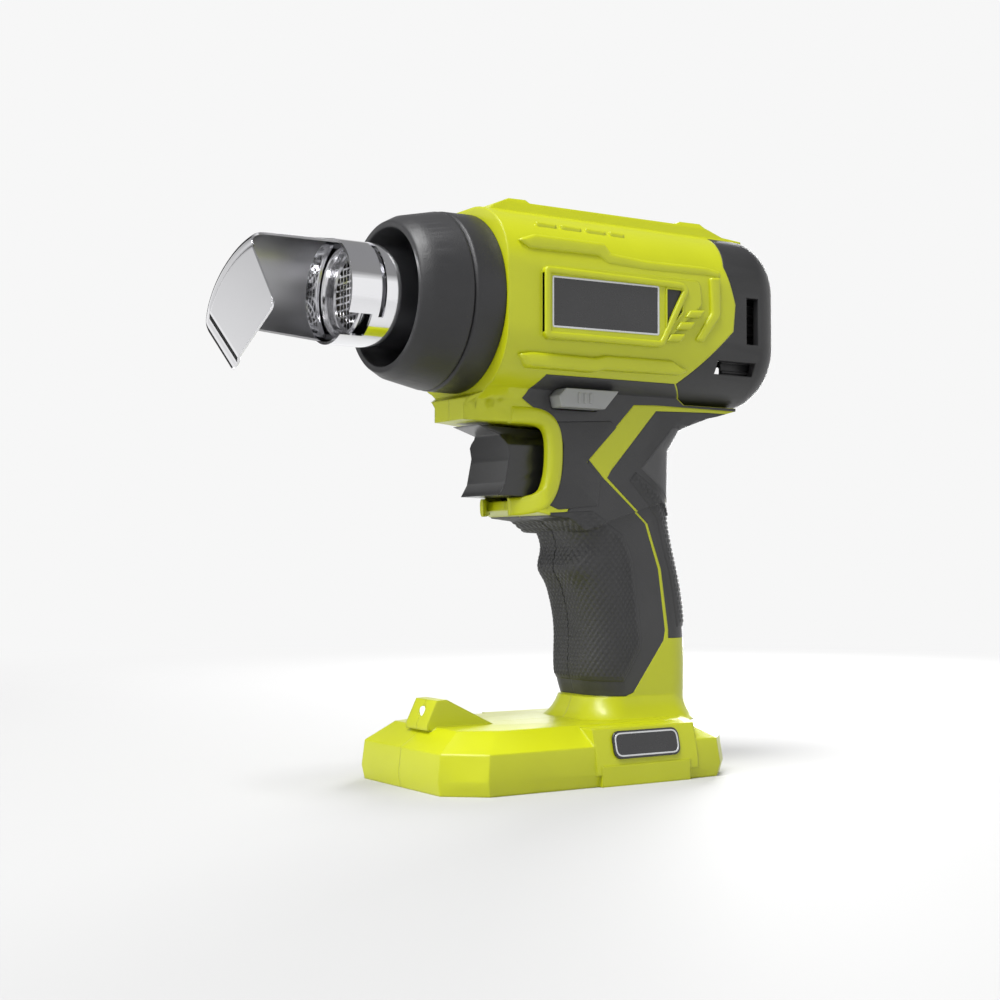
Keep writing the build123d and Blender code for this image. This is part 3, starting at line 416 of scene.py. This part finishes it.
# ------------------------------------------------------------------ mouldings on the two sides of the body
UPPER_BAR = [
    (-13.7, 192.6), (-7.0, 195.1), (23.3, 195.2), (26.4, 191.8), (42.1, 190.7), (70.9, 191.1),
    (78.6, 190.0), (78.6, 186.9), (70.9, 187.4), (42.1, 186.6), (25.0, 187.3), (21.0, 190.0), (-9.0, 189.6),
]
RIGHT_BAR = [(72.4, 187.0), (77.4, 187.4), (77.6, 172.6), (69.0, 162.0), (65.2, 162.6), (72.9, 173.4)]
LOWER_BAR = [
    (-13.0, 152.4), (-7.5, 153.4), (20.3, 153.2), (24.8, 154.4), (55.5, 154.6), (59.3, 152.6),
    (63.4, 151.0), (60.0, 149.4), (23.9, 149.0), (20.3, 148.0), (-8.4, 148.0),
]
LOUVRES = [
    [(61.6, 173.4), (69.0, 174.0), (66.4, 171.0), (59.4, 170.5)],
    [(57.0, 168.6), (64.4, 169.2), (61.8, 166.2), (54.8, 165.7)],
    [(52.4, 163.8), (59.8, 164.4), (57.2, 161.4), (50.2, 160.9)],
]
FRAME = [(-4.0, 183.8), (58.6, 183.6), (61.4, 181.0), (50.4, 161.0), (48.6, 158.6), (-4.0, 158.4)]
PLATE_RIM = [(-0.7, 180.7), (47.3, 181.3), (47.3, 162.9), (-0.7, 162.3)]
WINDOW_RIM = [(50.2, 181.3), (58.8, 181.3), (58.8, 172.3), (52.7, 165.7), (50.2, 165.7)]
DUST_SCREEN = [(84.0, 187.0), (103.0, 187.0), (103.0, 151.0), (84.0, 151.0)]
SCREEN_BARS = 9
LEDGE_BLOCKS = [(-2.6, 6.4), (8.2, 17.4), (19.2, 28.4), (30.2, 37.0)]

for word, side in (("left", -1), ("right", 1)):
    side_pad(f"upper_bar_{word}", UPPER_BAR, 27.0, 33.4, 1.1, side, corner=1.2)
    side_pad(f"right_bar_{word}", RIGHT_BAR, 31.0, 34.6, 0.8, side, corner=1.0)
    side_pad(f"lower_bar_{word}", LOWER_BAR, 26.0, 32.8, 1.1, side, corner=1.2)
    for i, outline in enumerate(LOUVRES):
        side_pad(f"louvre_{i}_{word}", outline, HALF_SIDE - 2.0, HALF_SIDE + 0.9, 0.6, side, corner=0.5)
    side_frame(f"plate_frame_{word}", FRAME, 2.4, HALF_SIDE - 2.0, HALF_SIDE + 0.8, 0.5, side)
    side_frame(f"plate_rim_{word}", PLATE_RIM, 0.7, HALF_SIDE - 0.8, HALF_SIDE + 0.15, 0.15, side,
               "plate", "plate_rim", corner=1.0)
    side_frame(f"window_rim_{word}", WINDOW_RIM, 0.7, HALF_SIDE - 0.8, HALF_SIDE + 0.5, 0.2, side, corner=0.8)
    for i, (x0, x1) in enumerate(LEDGE_BLOCKS):
        outline = [(x0, 201.0), (x1, 200.7), (x1 - 0.8, 198.2), (x0 + 0.2, 198.4)]
        side_pad(f"ledge_block_{i}_{word}", outline, 20.0, 27.6, 0.5, side, corner=0.4)
    side_pad(f"dust_screen_{word}", DUST_SCREEN, 25.2, 26.2, 0.3, side, "dark_plastic")
    for i in range(SCREEN_BARS):
        z = 152.0 + i * 3.8
        bar = [(84.0, z), (103.0, z), (103.0, z + 1.2), (84.0, z + 1.2)]
        side_pad(f"dust_screen_bar_{i}_{word}", bar, 25.8, 27.0, 0.3, side, "dark_plastic", corner=0.3)

for i in range(3):
    x = 16.6 + i * 2.6
    rib = [(x, 140.9), (x + 1.2, 140.9), (x + 1.2, 137.0), (x, 137.0)]
    side_pad(f"slide_rib_{i}", rib, 25.4, 26.4, 0.3, -1, "grey_slide", body="mode_slide", corner=0.4)


BADGE_RUN, BADGE_RISE = 3.0, 12.4  # slope of the foot's side under the badge


def badge_frame(name, length, height, width, raised, side):
    """A thin bright ring on the sloping face of the foot's badge."""
    low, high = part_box(f"foot_badge_{name}")
    slope = Vector((0, -side * BADGE_RUN, BADGE_RISE)).normalized()
    facing = Vector((0, side * BADGE_RISE, BADGE_RUN)).normalized()
    middle = (low + high) / 2 / MM + facing * 0.5
    half_x, half_z = length / 2, height / 2
    outline = [(-half_x, half_z), (half_x, half_z), (half_x, -half_z), (-half_x, -half_z)]
    loops = [
        [middle + Vector((p.x, 0, 0)) + slope * p.y + facing * lift for p in inset_ring(outline, inset, 3.0, 6)]
        for inset, lift in frame_levels(width, -0.4, raised, 0.12)
    ]
    return new_object(
        f"badge_rim_{name}", loops_mesh(name, loops, closed_ring=True), "plate", "housing", "plate_rim")


for word, side in (("left", -1), ("right", 1)):
    badge_frame(word, 28.6, 8.6, 0.6, 0.15, side)


# ------------------------------------------------------------------ cheeks behind the trigger
CHEEK = [
    (11.2, 130.5), (14.4, 122.5), (13.9, 113.0), (11.4, 104.5), (7.5, 100.2), (12.0, 98.4), (30.0, 100.0),
    (31.5, 111.2), (24.8, 116.2), (38.7, 129.6), (36.0, 132.0),
]
GUARD_LINE = [
    (-6.0, 132.8), (2.0, 132.6), (8.0, 131.0), (11.2, 126.0), (11.4, 116.0), (10.2, 108.0), (7.0, 101.8),
    (2.0, 99.8), (-2.4, 99.6),
]
LIP_DEPTH = 16.6


def guard_place(side):
    return lambda p, y: (p.x, side * y * pinch(p.x, p.y), p.y)


def softened(path, times):
    """The open path with its corners cut, so that it reads as a curve."""
    pts = [Vector(p) for p in path]
    for _ in range(times):
        inner = [q for a, b in zip(pts, pts[1:]) for q in (a.lerp(b, 0.25), a.lerp(b, 0.75))]
        pts = [pts[0], *inner, pts[-1]]
    return pts


def guard_band(name, half, top, corner, side):
    """A rounded rim swept round the trigger opening on one side."""
    arc = [math.radians(90 * k / 6) for k in range(7)]
    section = [(-half, LIP_DEPTH)]
    section += [(-half + corner * (1 - math.cos(a)), top - corner * (1 - math.sin(a))) for a in arc]
    section += [(half - corner * (1 - math.sin(a)), top - corner * (1 - math.cos(a))) for a in arc]
    section += [(half, LIP_DEPTH)]
    path = softened(GUARD_LINE, 3)
    place = guard_place(side)
    loops = []
    for before, point, after in zip([path[0], *path], path, [*path[1:], path[-1]]):
        along = (after - before).normalized()
        across = Vector((-along.y, along.x))
        loops.append([place(point + across * u, y) for u, y in section])
    return new_object(name, loops_mesh(name, loops, sharp=60.0), "green_shell", "housing")


for word, side in (("left", -1), ("right", 1)):
    cheek = pad_loops(CHEEK, LIP_DEPTH, 20.25, 0.4, guard_place(side), 0.8)
    new_object(f"cheek_{word}", loops_mesh(f"cheek_{word}", cheek), "dark_grip", "housing")
    guard_band(f"guard_band_{word}", 3.3, 20.9, 2.4, side)


# ------------------------------------------------------------------ top rail
def top_pad(name, outline, base, top, chamfer):
    """A raised moulding on the rail, with its outline given as (x, y)."""
    loops = pad_loops(outline, base, top, chamfer, lambda p, z: (p.x, p.y, z), 0.8)
    return new_object(name, loops_mesh(name, loops), "green_shell", "housing")


for i, x in enumerate((12.0, 24.0, 36.0)):
    top_pad(f"rail_rib_{i}", [(x, -9), (x + 5, -11), (x + 5, 11), (x, 9)], TOP_Z - 3.0, TOP_Z - 0.8, 0.4)


# ------------------------------------------------------------------ grip textures
def inside_distance(x, z, outline):
    """Distance to the outline, positive inside it."""
    pts = np.array(outline, float)
    nxt = np.roll(pts, -1, 0)
    px, pz = x[..., None], z[..., None]
    ex, ez = nxt[:, 0] - pts[:, 0], nxt[:, 1] - pts[:, 1]
    t = np.clip(((px - pts[:, 0]) * ex + (pz - pts[:, 1]) * ez) / (ex * ex + ez * ez), 0, 1)
    gap = np.sqrt((px - pts[:, 0] - t * ex) ** 2 + (pz - pts[:, 1] - t * ez) ** 2).min(-1)
    above = (pts[:, 1] > pz) != (nxt[:, 1] > pz)
    cross = above & (px < ex * (pz - pts[:, 1]) / np.where(ez == 0, 1e-9, ez) + pts[:, 0])
    return np.where(cross.sum(-1) % 2 == 1, gap, -gap)


def surface_tree(skins):
    """One search tree over the surfaces of several pieces."""
    verts, faces = [], []
    for skin in skins:
        mesh = skin.data
        start = len(verts)
        verts += [v.co.copy() for v in mesh.vertices]
        faces += [[start + i for i in p.vertices] for p in mesh.polygons]
    return BVHTree.FromPolygons(verts, faces)


def knurl(s, z):
    """Fine diamonds."""
    u = np.abs(((s + z * 0.62) / 1.9) % 1.0 - 0.5) * 2
    v = np.abs(((s - z * 0.62) / 1.9) % 1.0 - 0.5) * 2
    return 0.55 * np.minimum(np.minimum(u, v) * 1.6, 0.8)


def cells(s, z):
    """Small raised bricks in offset rows."""
    row = np.floor(z / 1.7)
    u = np.abs(((s + 1.1 * (row % 2)) / 2.2) % 1.0 - 0.5) * 2
    v = np.abs((z / 1.7) % 1.0 - 0.5) * 2
    return 0.42 * np.clip(np.minimum(1 - u, 1 - v) * 3.0, 0, 1)


def smooth(s, z):
    """No pattern."""
    return 0.0 * s


def grip_patch(name, trees, centre_x, heights, angles, outline, pattern, side, raised=0.35,
               material="dark_grip"):
    """A textured skin that follows the grip inside a side-view outline, wrapped round from one seam."""
    step = 0.34
    z_values = np.arange(heights[0], heights[1], step)
    a_values = np.radians(np.arange(angles[0], angles[1], 0.85))
    points = np.full((len(z_values), len(a_values), 3), np.nan)
    normals = np.zeros_like(points)
    for i, z in enumerate(z_values):
        for j, a in enumerate(a_values):
            out = Vector((-math.cos(a), side * math.sin(a), 0))
            origin = Vector((centre_x, 0, z)) + out * 60
            hit, normal, _, _ = trees.ray_cast(origin * MM, -out)
            if hit:
                points[i, j] = hit / MM
                normals[i, j] = normal if normal.dot(out) > 0 else -normal
    for _ in range(2):  # evens out the facets of the surface's normals
        padded = np.pad(normals, ((1, 1), (1, 1), (0, 0)), mode="edge")
        normals = sum(padded[1 + di:padded.shape[0] - 1 + di, 1 + dj:padded.shape[1] - 1 + dj]
                      for di in (-1, 0, 1) for dj in (-1, 0, 1))
        normals /= np.maximum(np.linalg.norm(normals, axis=-1, keepdims=True), 1e-9)
    gap = inside_distance(points[..., 0], points[..., 2], outline)
    along = a_values[None, :] * 22.0 + 0 * points[..., 2]
    ramp = np.clip((gap + 0.1) / 0.8, 0, 1)
    ramp = ramp * ramp * (3 - 2 * ramp)
    height = -0.3 + ramp * (0.3 + raised) + np.clip(gap - 1.2, 0, 1) * pattern(along, points[..., 2])
    moved = points + normals * height[..., None]
    bm = bmesh.new()
    verts = {}

    def vert(i, j):
        if (i, j) not in verts:
            verts[i, j] = bm.verts.new(Vector(moved[i, j]) * MM)
        return verts[i, j]

    wanted = gap > -0.35
    for i in range(len(z_values) - 1):
        for j in range(len(a_values) - 1):
            block = wanted[i:i + 2, j:j + 2]
            if block.all() and np.ptp(height[i:i + 2, j:j + 2]) < 3:
                bm.faces.new((vert(i, j), vert(i, j + 1), vert(i + 1, j + 1), vert(i + 1, j)))
    bmesh.ops.recalc_face_normals(bm, faces=bm.faces)
    for face in bm.faces:
        face.smooth = True
    mesh = bpy.data.meshes.new(name)
    bm.to_mesh(mesh)
    bm.free()
    return new_object(name, mesh, "dark_grip", "housing", material)


FRONT_PANEL = [
    (8.0, 97.6), (27.6, 98.6), (43.0, 89.6), (47.4, 79.6), (51.8, 50.6), (51.4, 46.4), (43.6, 34.4),
    (8.0, 35.5),
]
REAR_PANEL = [
    (47.4, 113.6), (44.2, 109.8), (58.0, 95.8), (65.2, 72.1), (68.8, 54.2), (90.0, 54.2), (90.0, 94.0),
    (69.0, 97.0), (59.0, 106.0),
]
THUMB_WEB = [(49.6, 114.6), (65.0, 131.0), (90.0, 131.0), (90.0, 97.6), (69.4, 98.4), (60.0, 106.8)]
for word, side in (("left", -1), ("right", 1)):
    tree = surface_tree(GRIP_SKINS[word])
    grip_patch(f"front_texture_{word}", tree, 53.0, (33.0, 99.0), (0.4, 112.0), FRONT_PANEL, knurl, side)
    grip_patch(f"rear_texture_{word}", tree, 50.0, (53.0, 115.0), (60.0, 179.6), REAR_PANEL, cells, side)
    # the thumb web takes the lighter grip colour, painted as the light it catches
    grip_patch(f"thumb_web_{word}", tree, 50.0, (97.0, 132.0), (60.0, 179.6), THUMB_WEB, smooth, side,
               0.25, "grip_web")


# ------------------------------------------------------------------ spoon deflector
TILT = math.radians(36.5)
SLANT = 0.35
ACROSS = Vector((SLANT, -math.sin(TILT), math.cos(TILT))).normalized()
FACING = Vector((-1, -SLANT * math.sin(TILT), SLANT * math.cos(TILT))).normalized()
UP_SPOON = FACING.cross(ACROSS)
PLATE_POINT = Vector((-103.6, 0, AXIS_Z))
FLAT_ACROSS = Vector((0, -math.sin(TILT), math.cos(TILT)))


def on_plate(a, c, depth=0.0):
    """A point of the front plate from its own two coordinates, set back by depth."""
    return PLATE_POINT + ACROSS * a + UP_SPOON * c - FACING * depth


def arc_point(ends, t):
    """A point on the arc through three plane points."""
    (ax, ay), (bx, by), (cx, cy) = ends
    d = 2 * (ax * (by - cy) + bx * (cy - ay) + cx * (ay - by))
    ux = ((ax**2 + ay**2) * (by - cy) + (bx**2 + by**2) * (cy - ay) + (cx**2 + cy**2) * (ay - by)) / d
    uy = ((ax**2 + ay**2) * (cx - bx) + (bx**2 + by**2) * (ax - cx) + (cx**2 + cy**2) * (bx - ax)) / d
    radius = math.hypot(ax - ux, ay - uy)
    start, end = math.atan2(ay - uy, ax - ux), math.atan2(cy - uy, cx - ux)
    if end < start:
        end += 2 * math.pi
    angle = start + (end - start) * t
    return ux + radius * math.cos(angle), uy + radius * math.sin(angle)


def rim_depth(edge, fold):
    """Set-back of the plate by distance from its free edge and its fold: a step to a ledge, then a roll."""
    roll, ledge, step, drop = 2.2, 1.3, 2.5, 1.1
    stepped = drop * (1.0 - min(eased((edge - roll - ledge) / step), eased((fold - 7.6) / step)))
    if edge < roll:
        stepped = drop + roll - math.sqrt(max(0.0, roll**2 - (roll - max(0.0, edge)) ** 2))
    return stepped


SCOOP_ROWS = 84  # strips of the sheet, side by side round the sleeve
SHADED_SATIN_FACES = 26  # faces of a strip, counted from the sleeve, that keep the duller inside finish: satin roughness, and a darker base colour that is painted shade in the sleeve's hollow
SPOON_BORDER, SPOON_FREE = -21.9, -24.2  # the plate's two free edges, in its own coordinates
CORNER_CUT = 3.2


def spoon_mesh(sleeve_x, radius):
    """One sheet: the far half of the sleeve runs forward, opens out and rolls over into the front plate."""
    bm = bmesh.new()
    rows = []
    for k in range(SCOOP_ROWS + 1):
        t = k / SCOOP_ROWS
        turn = math.radians(90 - 80 + 180 * t)
        start = Vector((sleeve_x, 0, AXIS_Z)) + FLAT_ACROSS * radius * math.cos(turn) \
            + UP_SPOON * radius * math.sin(turn)
        fa, fc = arc_point([(12.7, 16.4), (-4.0, 20.4), (-21.2, 9.8)], t)
        ga = 6.4 + (SPOON_BORDER - 6.4) * t
        free = SPOON_FREE + CORNER_CUT * (max(0.0, 1 - t * 9) ** 2 + max(0.0, 1 - (1 - t) * 9) ** 2)

        corner = on_plate(fa, fc, rim_depth(fa - SPOON_BORDER, 0.0))
        bottom = on_plate(ga, free, rim_depth(ga - SPOON_BORDER, 20.0))
        into, down = corner - start, bottom - corner
        bend = min(7.0, 0.4 * down.length)
        first, last = corner - into.normalized() * bend, corner + down.normalized() * bend
        row = [start.lerp(first, i / 22) for i in range(23)]
        for s in (i / 12 for i in range(1, 12)):
            row.append(first * (1 - s) ** 2 + corner * 2 * s * (1 - s) + last * s**2)
        for i in range(71):
            s = i / 70
            a_here = fa + (ga - fa) * (bend / down.length + (1 - bend / down.length) * s)
            c_here = fc + (free - fc) * (bend / down.length + (1 - bend / down.length) * s)
            row.append(on_plate(a_here, c_here, rim_depth(a_here - SPOON_BORDER, fc - c_here)))
        rows.append([bm.verts.new(p * MM) for p in row])
    for left, right in zip(rows, rows[1:]):
        for i in range(len(left) - 1):
            bm.faces.new((left[i], left[i + 1], right[i + 1], right[i]))
    bmesh.ops.recalc_face_normals(bm, faces=bm.faces)
    for face in bm.faces:
        face.smooth = True
    mesh = bpy.data.meshes.new("spoon_scoop")
    bm.to_mesh(mesh)
    bm.free()
    return mesh


def keep_sleeve(bm):
    """Keeps the deflector's round sleeve and cuts the rest away."""
    bmesh.ops.bisect_plane(
        bm, geom=bm.verts[:] + bm.edges[:] + bm.faces[:], plane_co=(-71.4 * MM, 0, 0), plane_no=(-1, 0, 0),
        clear_outer=True,
    )
    cut = [e for e in bm.edges if e.is_boundary]
    bmesh.ops.holes_fill(bm, edges=cut, sides=0)


cad_piece("deflector", 0.18, 2, keep=keep_sleeve)
scoop = new_object("spoon_scoop", spoon_mesh(-70.6, 18.0), "spoon_chrome", body_of("deflector"))
scoop.data.materials.append(FINISH["spoon_satin_painted_shade"])
# the sleeve's faces take the darker satin colour: painted shade inside the scoop
strip_faces = len(scoop.data.polygons) // SCOOP_ROWS
for face in scoop.data.polygons:
    face.material_index = 1 if face.index % strip_faces < SHADED_SATIN_FACES else 0
sheet = scoop.modifiers.new("sheet", "SOLIDIFY")
sheet.thickness = 0.9 * MM
sheet.offset = 0.0
rim = scoop.modifiers.new("rim", "BEVEL")
rim.width = 0.3 * MM
rim.segments = 2
rim.limit_method = "ANGLE"
rim.angle_limit = math.radians(60)
rim.harden_normals = True


# ------------------------------------------------------------------ stage, light and camera
BACKDROP = 0.93


def stage_material(name, colour, rough):
    material = bpy.data.materials.new(name)
    material.use_nodes = True
    shader = material.node_tree.nodes["Principled BSDF"]
    shader.inputs["Base Color"].default_value = (*colour, 1)
    shader.inputs["Roughness"].default_value = rough
    return material


def floor_material():
    """A pale matt floor that turns into the backdrop's own brightness further out, so no horizon shows."""
    material = stage_material("pale_floor", (0.43, 0.43, 0.43), 0.8)
    tree = material.node_tree
    where = tree.nodes.new("ShaderNodeTexCoord")
    far = tree.nodes.new("ShaderNodeVectorMath")
    far.operation = "LENGTH"
    fade = tree.nodes.new("ShaderNodeMapRange")
    fade.interpolation_type = "SMOOTHERSTEP"
    fade.inputs["From Min"].default_value = 0.3
    fade.inputs["From Max"].default_value = 0.9
    glow = tree.nodes.new("ShaderNodeEmission")
    glow.inputs["Strength"].default_value = BACKDROP
    blend = tree.nodes.new("ShaderNodeMixShader")
    tree.links.new(where.outputs["Object"], far.inputs[0])
    tree.links.new(far.outputs["Value"], fade.inputs["Value"])
    tree.links.new(fade.outputs["Result"], blend.inputs["Fac"])
    tree.links.new(tree.nodes["Principled BSDF"].outputs["BSDF"], blend.inputs[1])
    tree.links.new(glow.outputs["Emission"], blend.inputs[2])
    tree.links.new(blend.outputs["Shader"], tree.nodes["Material Output"].inputs["Surface"])
    return material


def card(name, centre, size, aim, material, seen=True):
    """A flat sheet that faces a point."""
    half = size / 2
    mesh = bpy.data.meshes.new(name)
    corners = [(-half, -half, 0), (half, -half, 0), (half, half, 0), (-half, half, 0)]
    mesh.from_pydata(corners, [], [(0, 1, 2, 3)])
    mesh.materials.append(material)
    obj = bpy.data.objects.new(name, mesh)
    SCENE.collection.objects.link(obj)
    obj.location = centre
    if aim is not None:
        obj.rotation_euler = (Vector(aim) - Vector(centre)).to_track_quat("Z", "Y").to_euler()
    obj.visible_camera = seen
    return obj


card("floor", (0, 0, 0), 40.0, None, floor_material())


def soft_light(name, place, size, power, aim=(0.0, 0.0, 0.12)):
    lamp = bpy.data.lights.new(name, "AREA")
    lamp.shape = "RECTANGLE"
    lamp.size, lamp.size_y = size
    lamp.energy = power
    obj = bpy.data.objects.new(name, lamp)
    SCENE.collection.objects.link(obj)
    obj.location = place
    obj.rotation_euler = (Vector(aim) - Vector(place)).to_track_quat("-Z", "Y").to_euler()
    return obj


soft_light("key", (-0.70, -0.35, 0.95), (0.45, 0.30), 6.0)
soft_light("rim", (0.72, 0.62, 0.28), (0.35, 0.7), 10.0)
soft_light("strip", (-0.95, 0.15, 0.24), (0.25, 0.6), 3.0)
sun = bpy.data.lights.new("sky_light", "SUN")
sun.energy = 3.4
sun.angle = math.radians(25)
sun_object = bpy.data.objects.new("sky_light", sun)
SCENE.collection.objects.link(sun_object)
sun_object.rotation_euler = Vector((0.32, 0.12, -1.0)).to_track_quat("-Z", "Y").to_euler()

world = bpy.data.worlds.new("studio")
SCENE.world = world
world.use_nodes = True
sky = world.node_tree
direction = sky.nodes.new("ShaderNodeTexCoord")
split = sky.nodes.new("ShaderNodeSeparateXYZ")
ramp = sky.nodes.new("ShaderNodeValToRGB")
lift = sky.nodes.new("ShaderNodeMapRange")
lift.inputs["From Min"].default_value = -1.0
sky.links.new(direction.outputs["Generated"], split.inputs["Vector"])
sky.links.new(split.outputs["Z"], lift.inputs["Value"])
sky.links.new(lift.outputs["Result"], ramp.inputs["Fac"])
sky.links.new(ramp.outputs["Color"], sky.nodes["Background"].inputs["Color"])
ramp.color_ramp.elements[0].position, ramp.color_ramp.elements[0].color = 0.0, (0.75, 0.75, 0.75, 1)
ramp.color_ramp.elements[1].position, ramp.color_ramp.elements[1].color = 1.0, (0.30, 0.30, 0.31, 1)
for place, value in ((0.47, 1.0), (0.68, 1.0), (0.78, 0.30)):
    ramp.color_ramp.elements.new(place).color = (value, value, value, 1)
sky.nodes["Background"].inputs["Strength"].default_value = BACKDROP

black = stage_material("black_card", (0.01, 0.01, 0.01), 0.9)
SPOON_MIDDLE = (-0.09, 0.0, 0.17)
for name, place, size in (
    ("dark_card_left", (-0.62, 0.10, 0.20), 0.30), ("dark_card_low", (-0.50, -0.42, -0.02), 0.26),
    ("dark_card_near", (-0.22, -0.62, 0.34), 0.24), ("dark_card_far", (-0.20, 0.55, 0.12), 0.30),
    ("dark_card_high", (-0.38, -0.02, 0.62), 0.22), ("dark_card_back", (-0.04, 0.54, 0.40), 0.28),
):
    flag = card(name, place, size, SPOON_MIDDLE, black, seen=False)
    flag.visible_diffuse = False
    flag.visible_shadow = False

SCENE.view_settings.view_transform = "Standard"
SCENE.view_settings.look = "None"

lens = bpy.data.cameras.new("photo_view")
lens.sensor_width = 36.0
lens.lens = 57.316
camera = bpy.data.objects.new("photo_view", lens)
SCENE.collection.objects.link(camera)
camera.location = (-0.31907, -0.49449, 0.08068)
camera.rotation_euler = Vector((0.5415, 0.8399, 0.0368)).to_track_quat("-Z", "Y").to_euler()
lens.clip_start = 0.01
SCENE.camera = camera
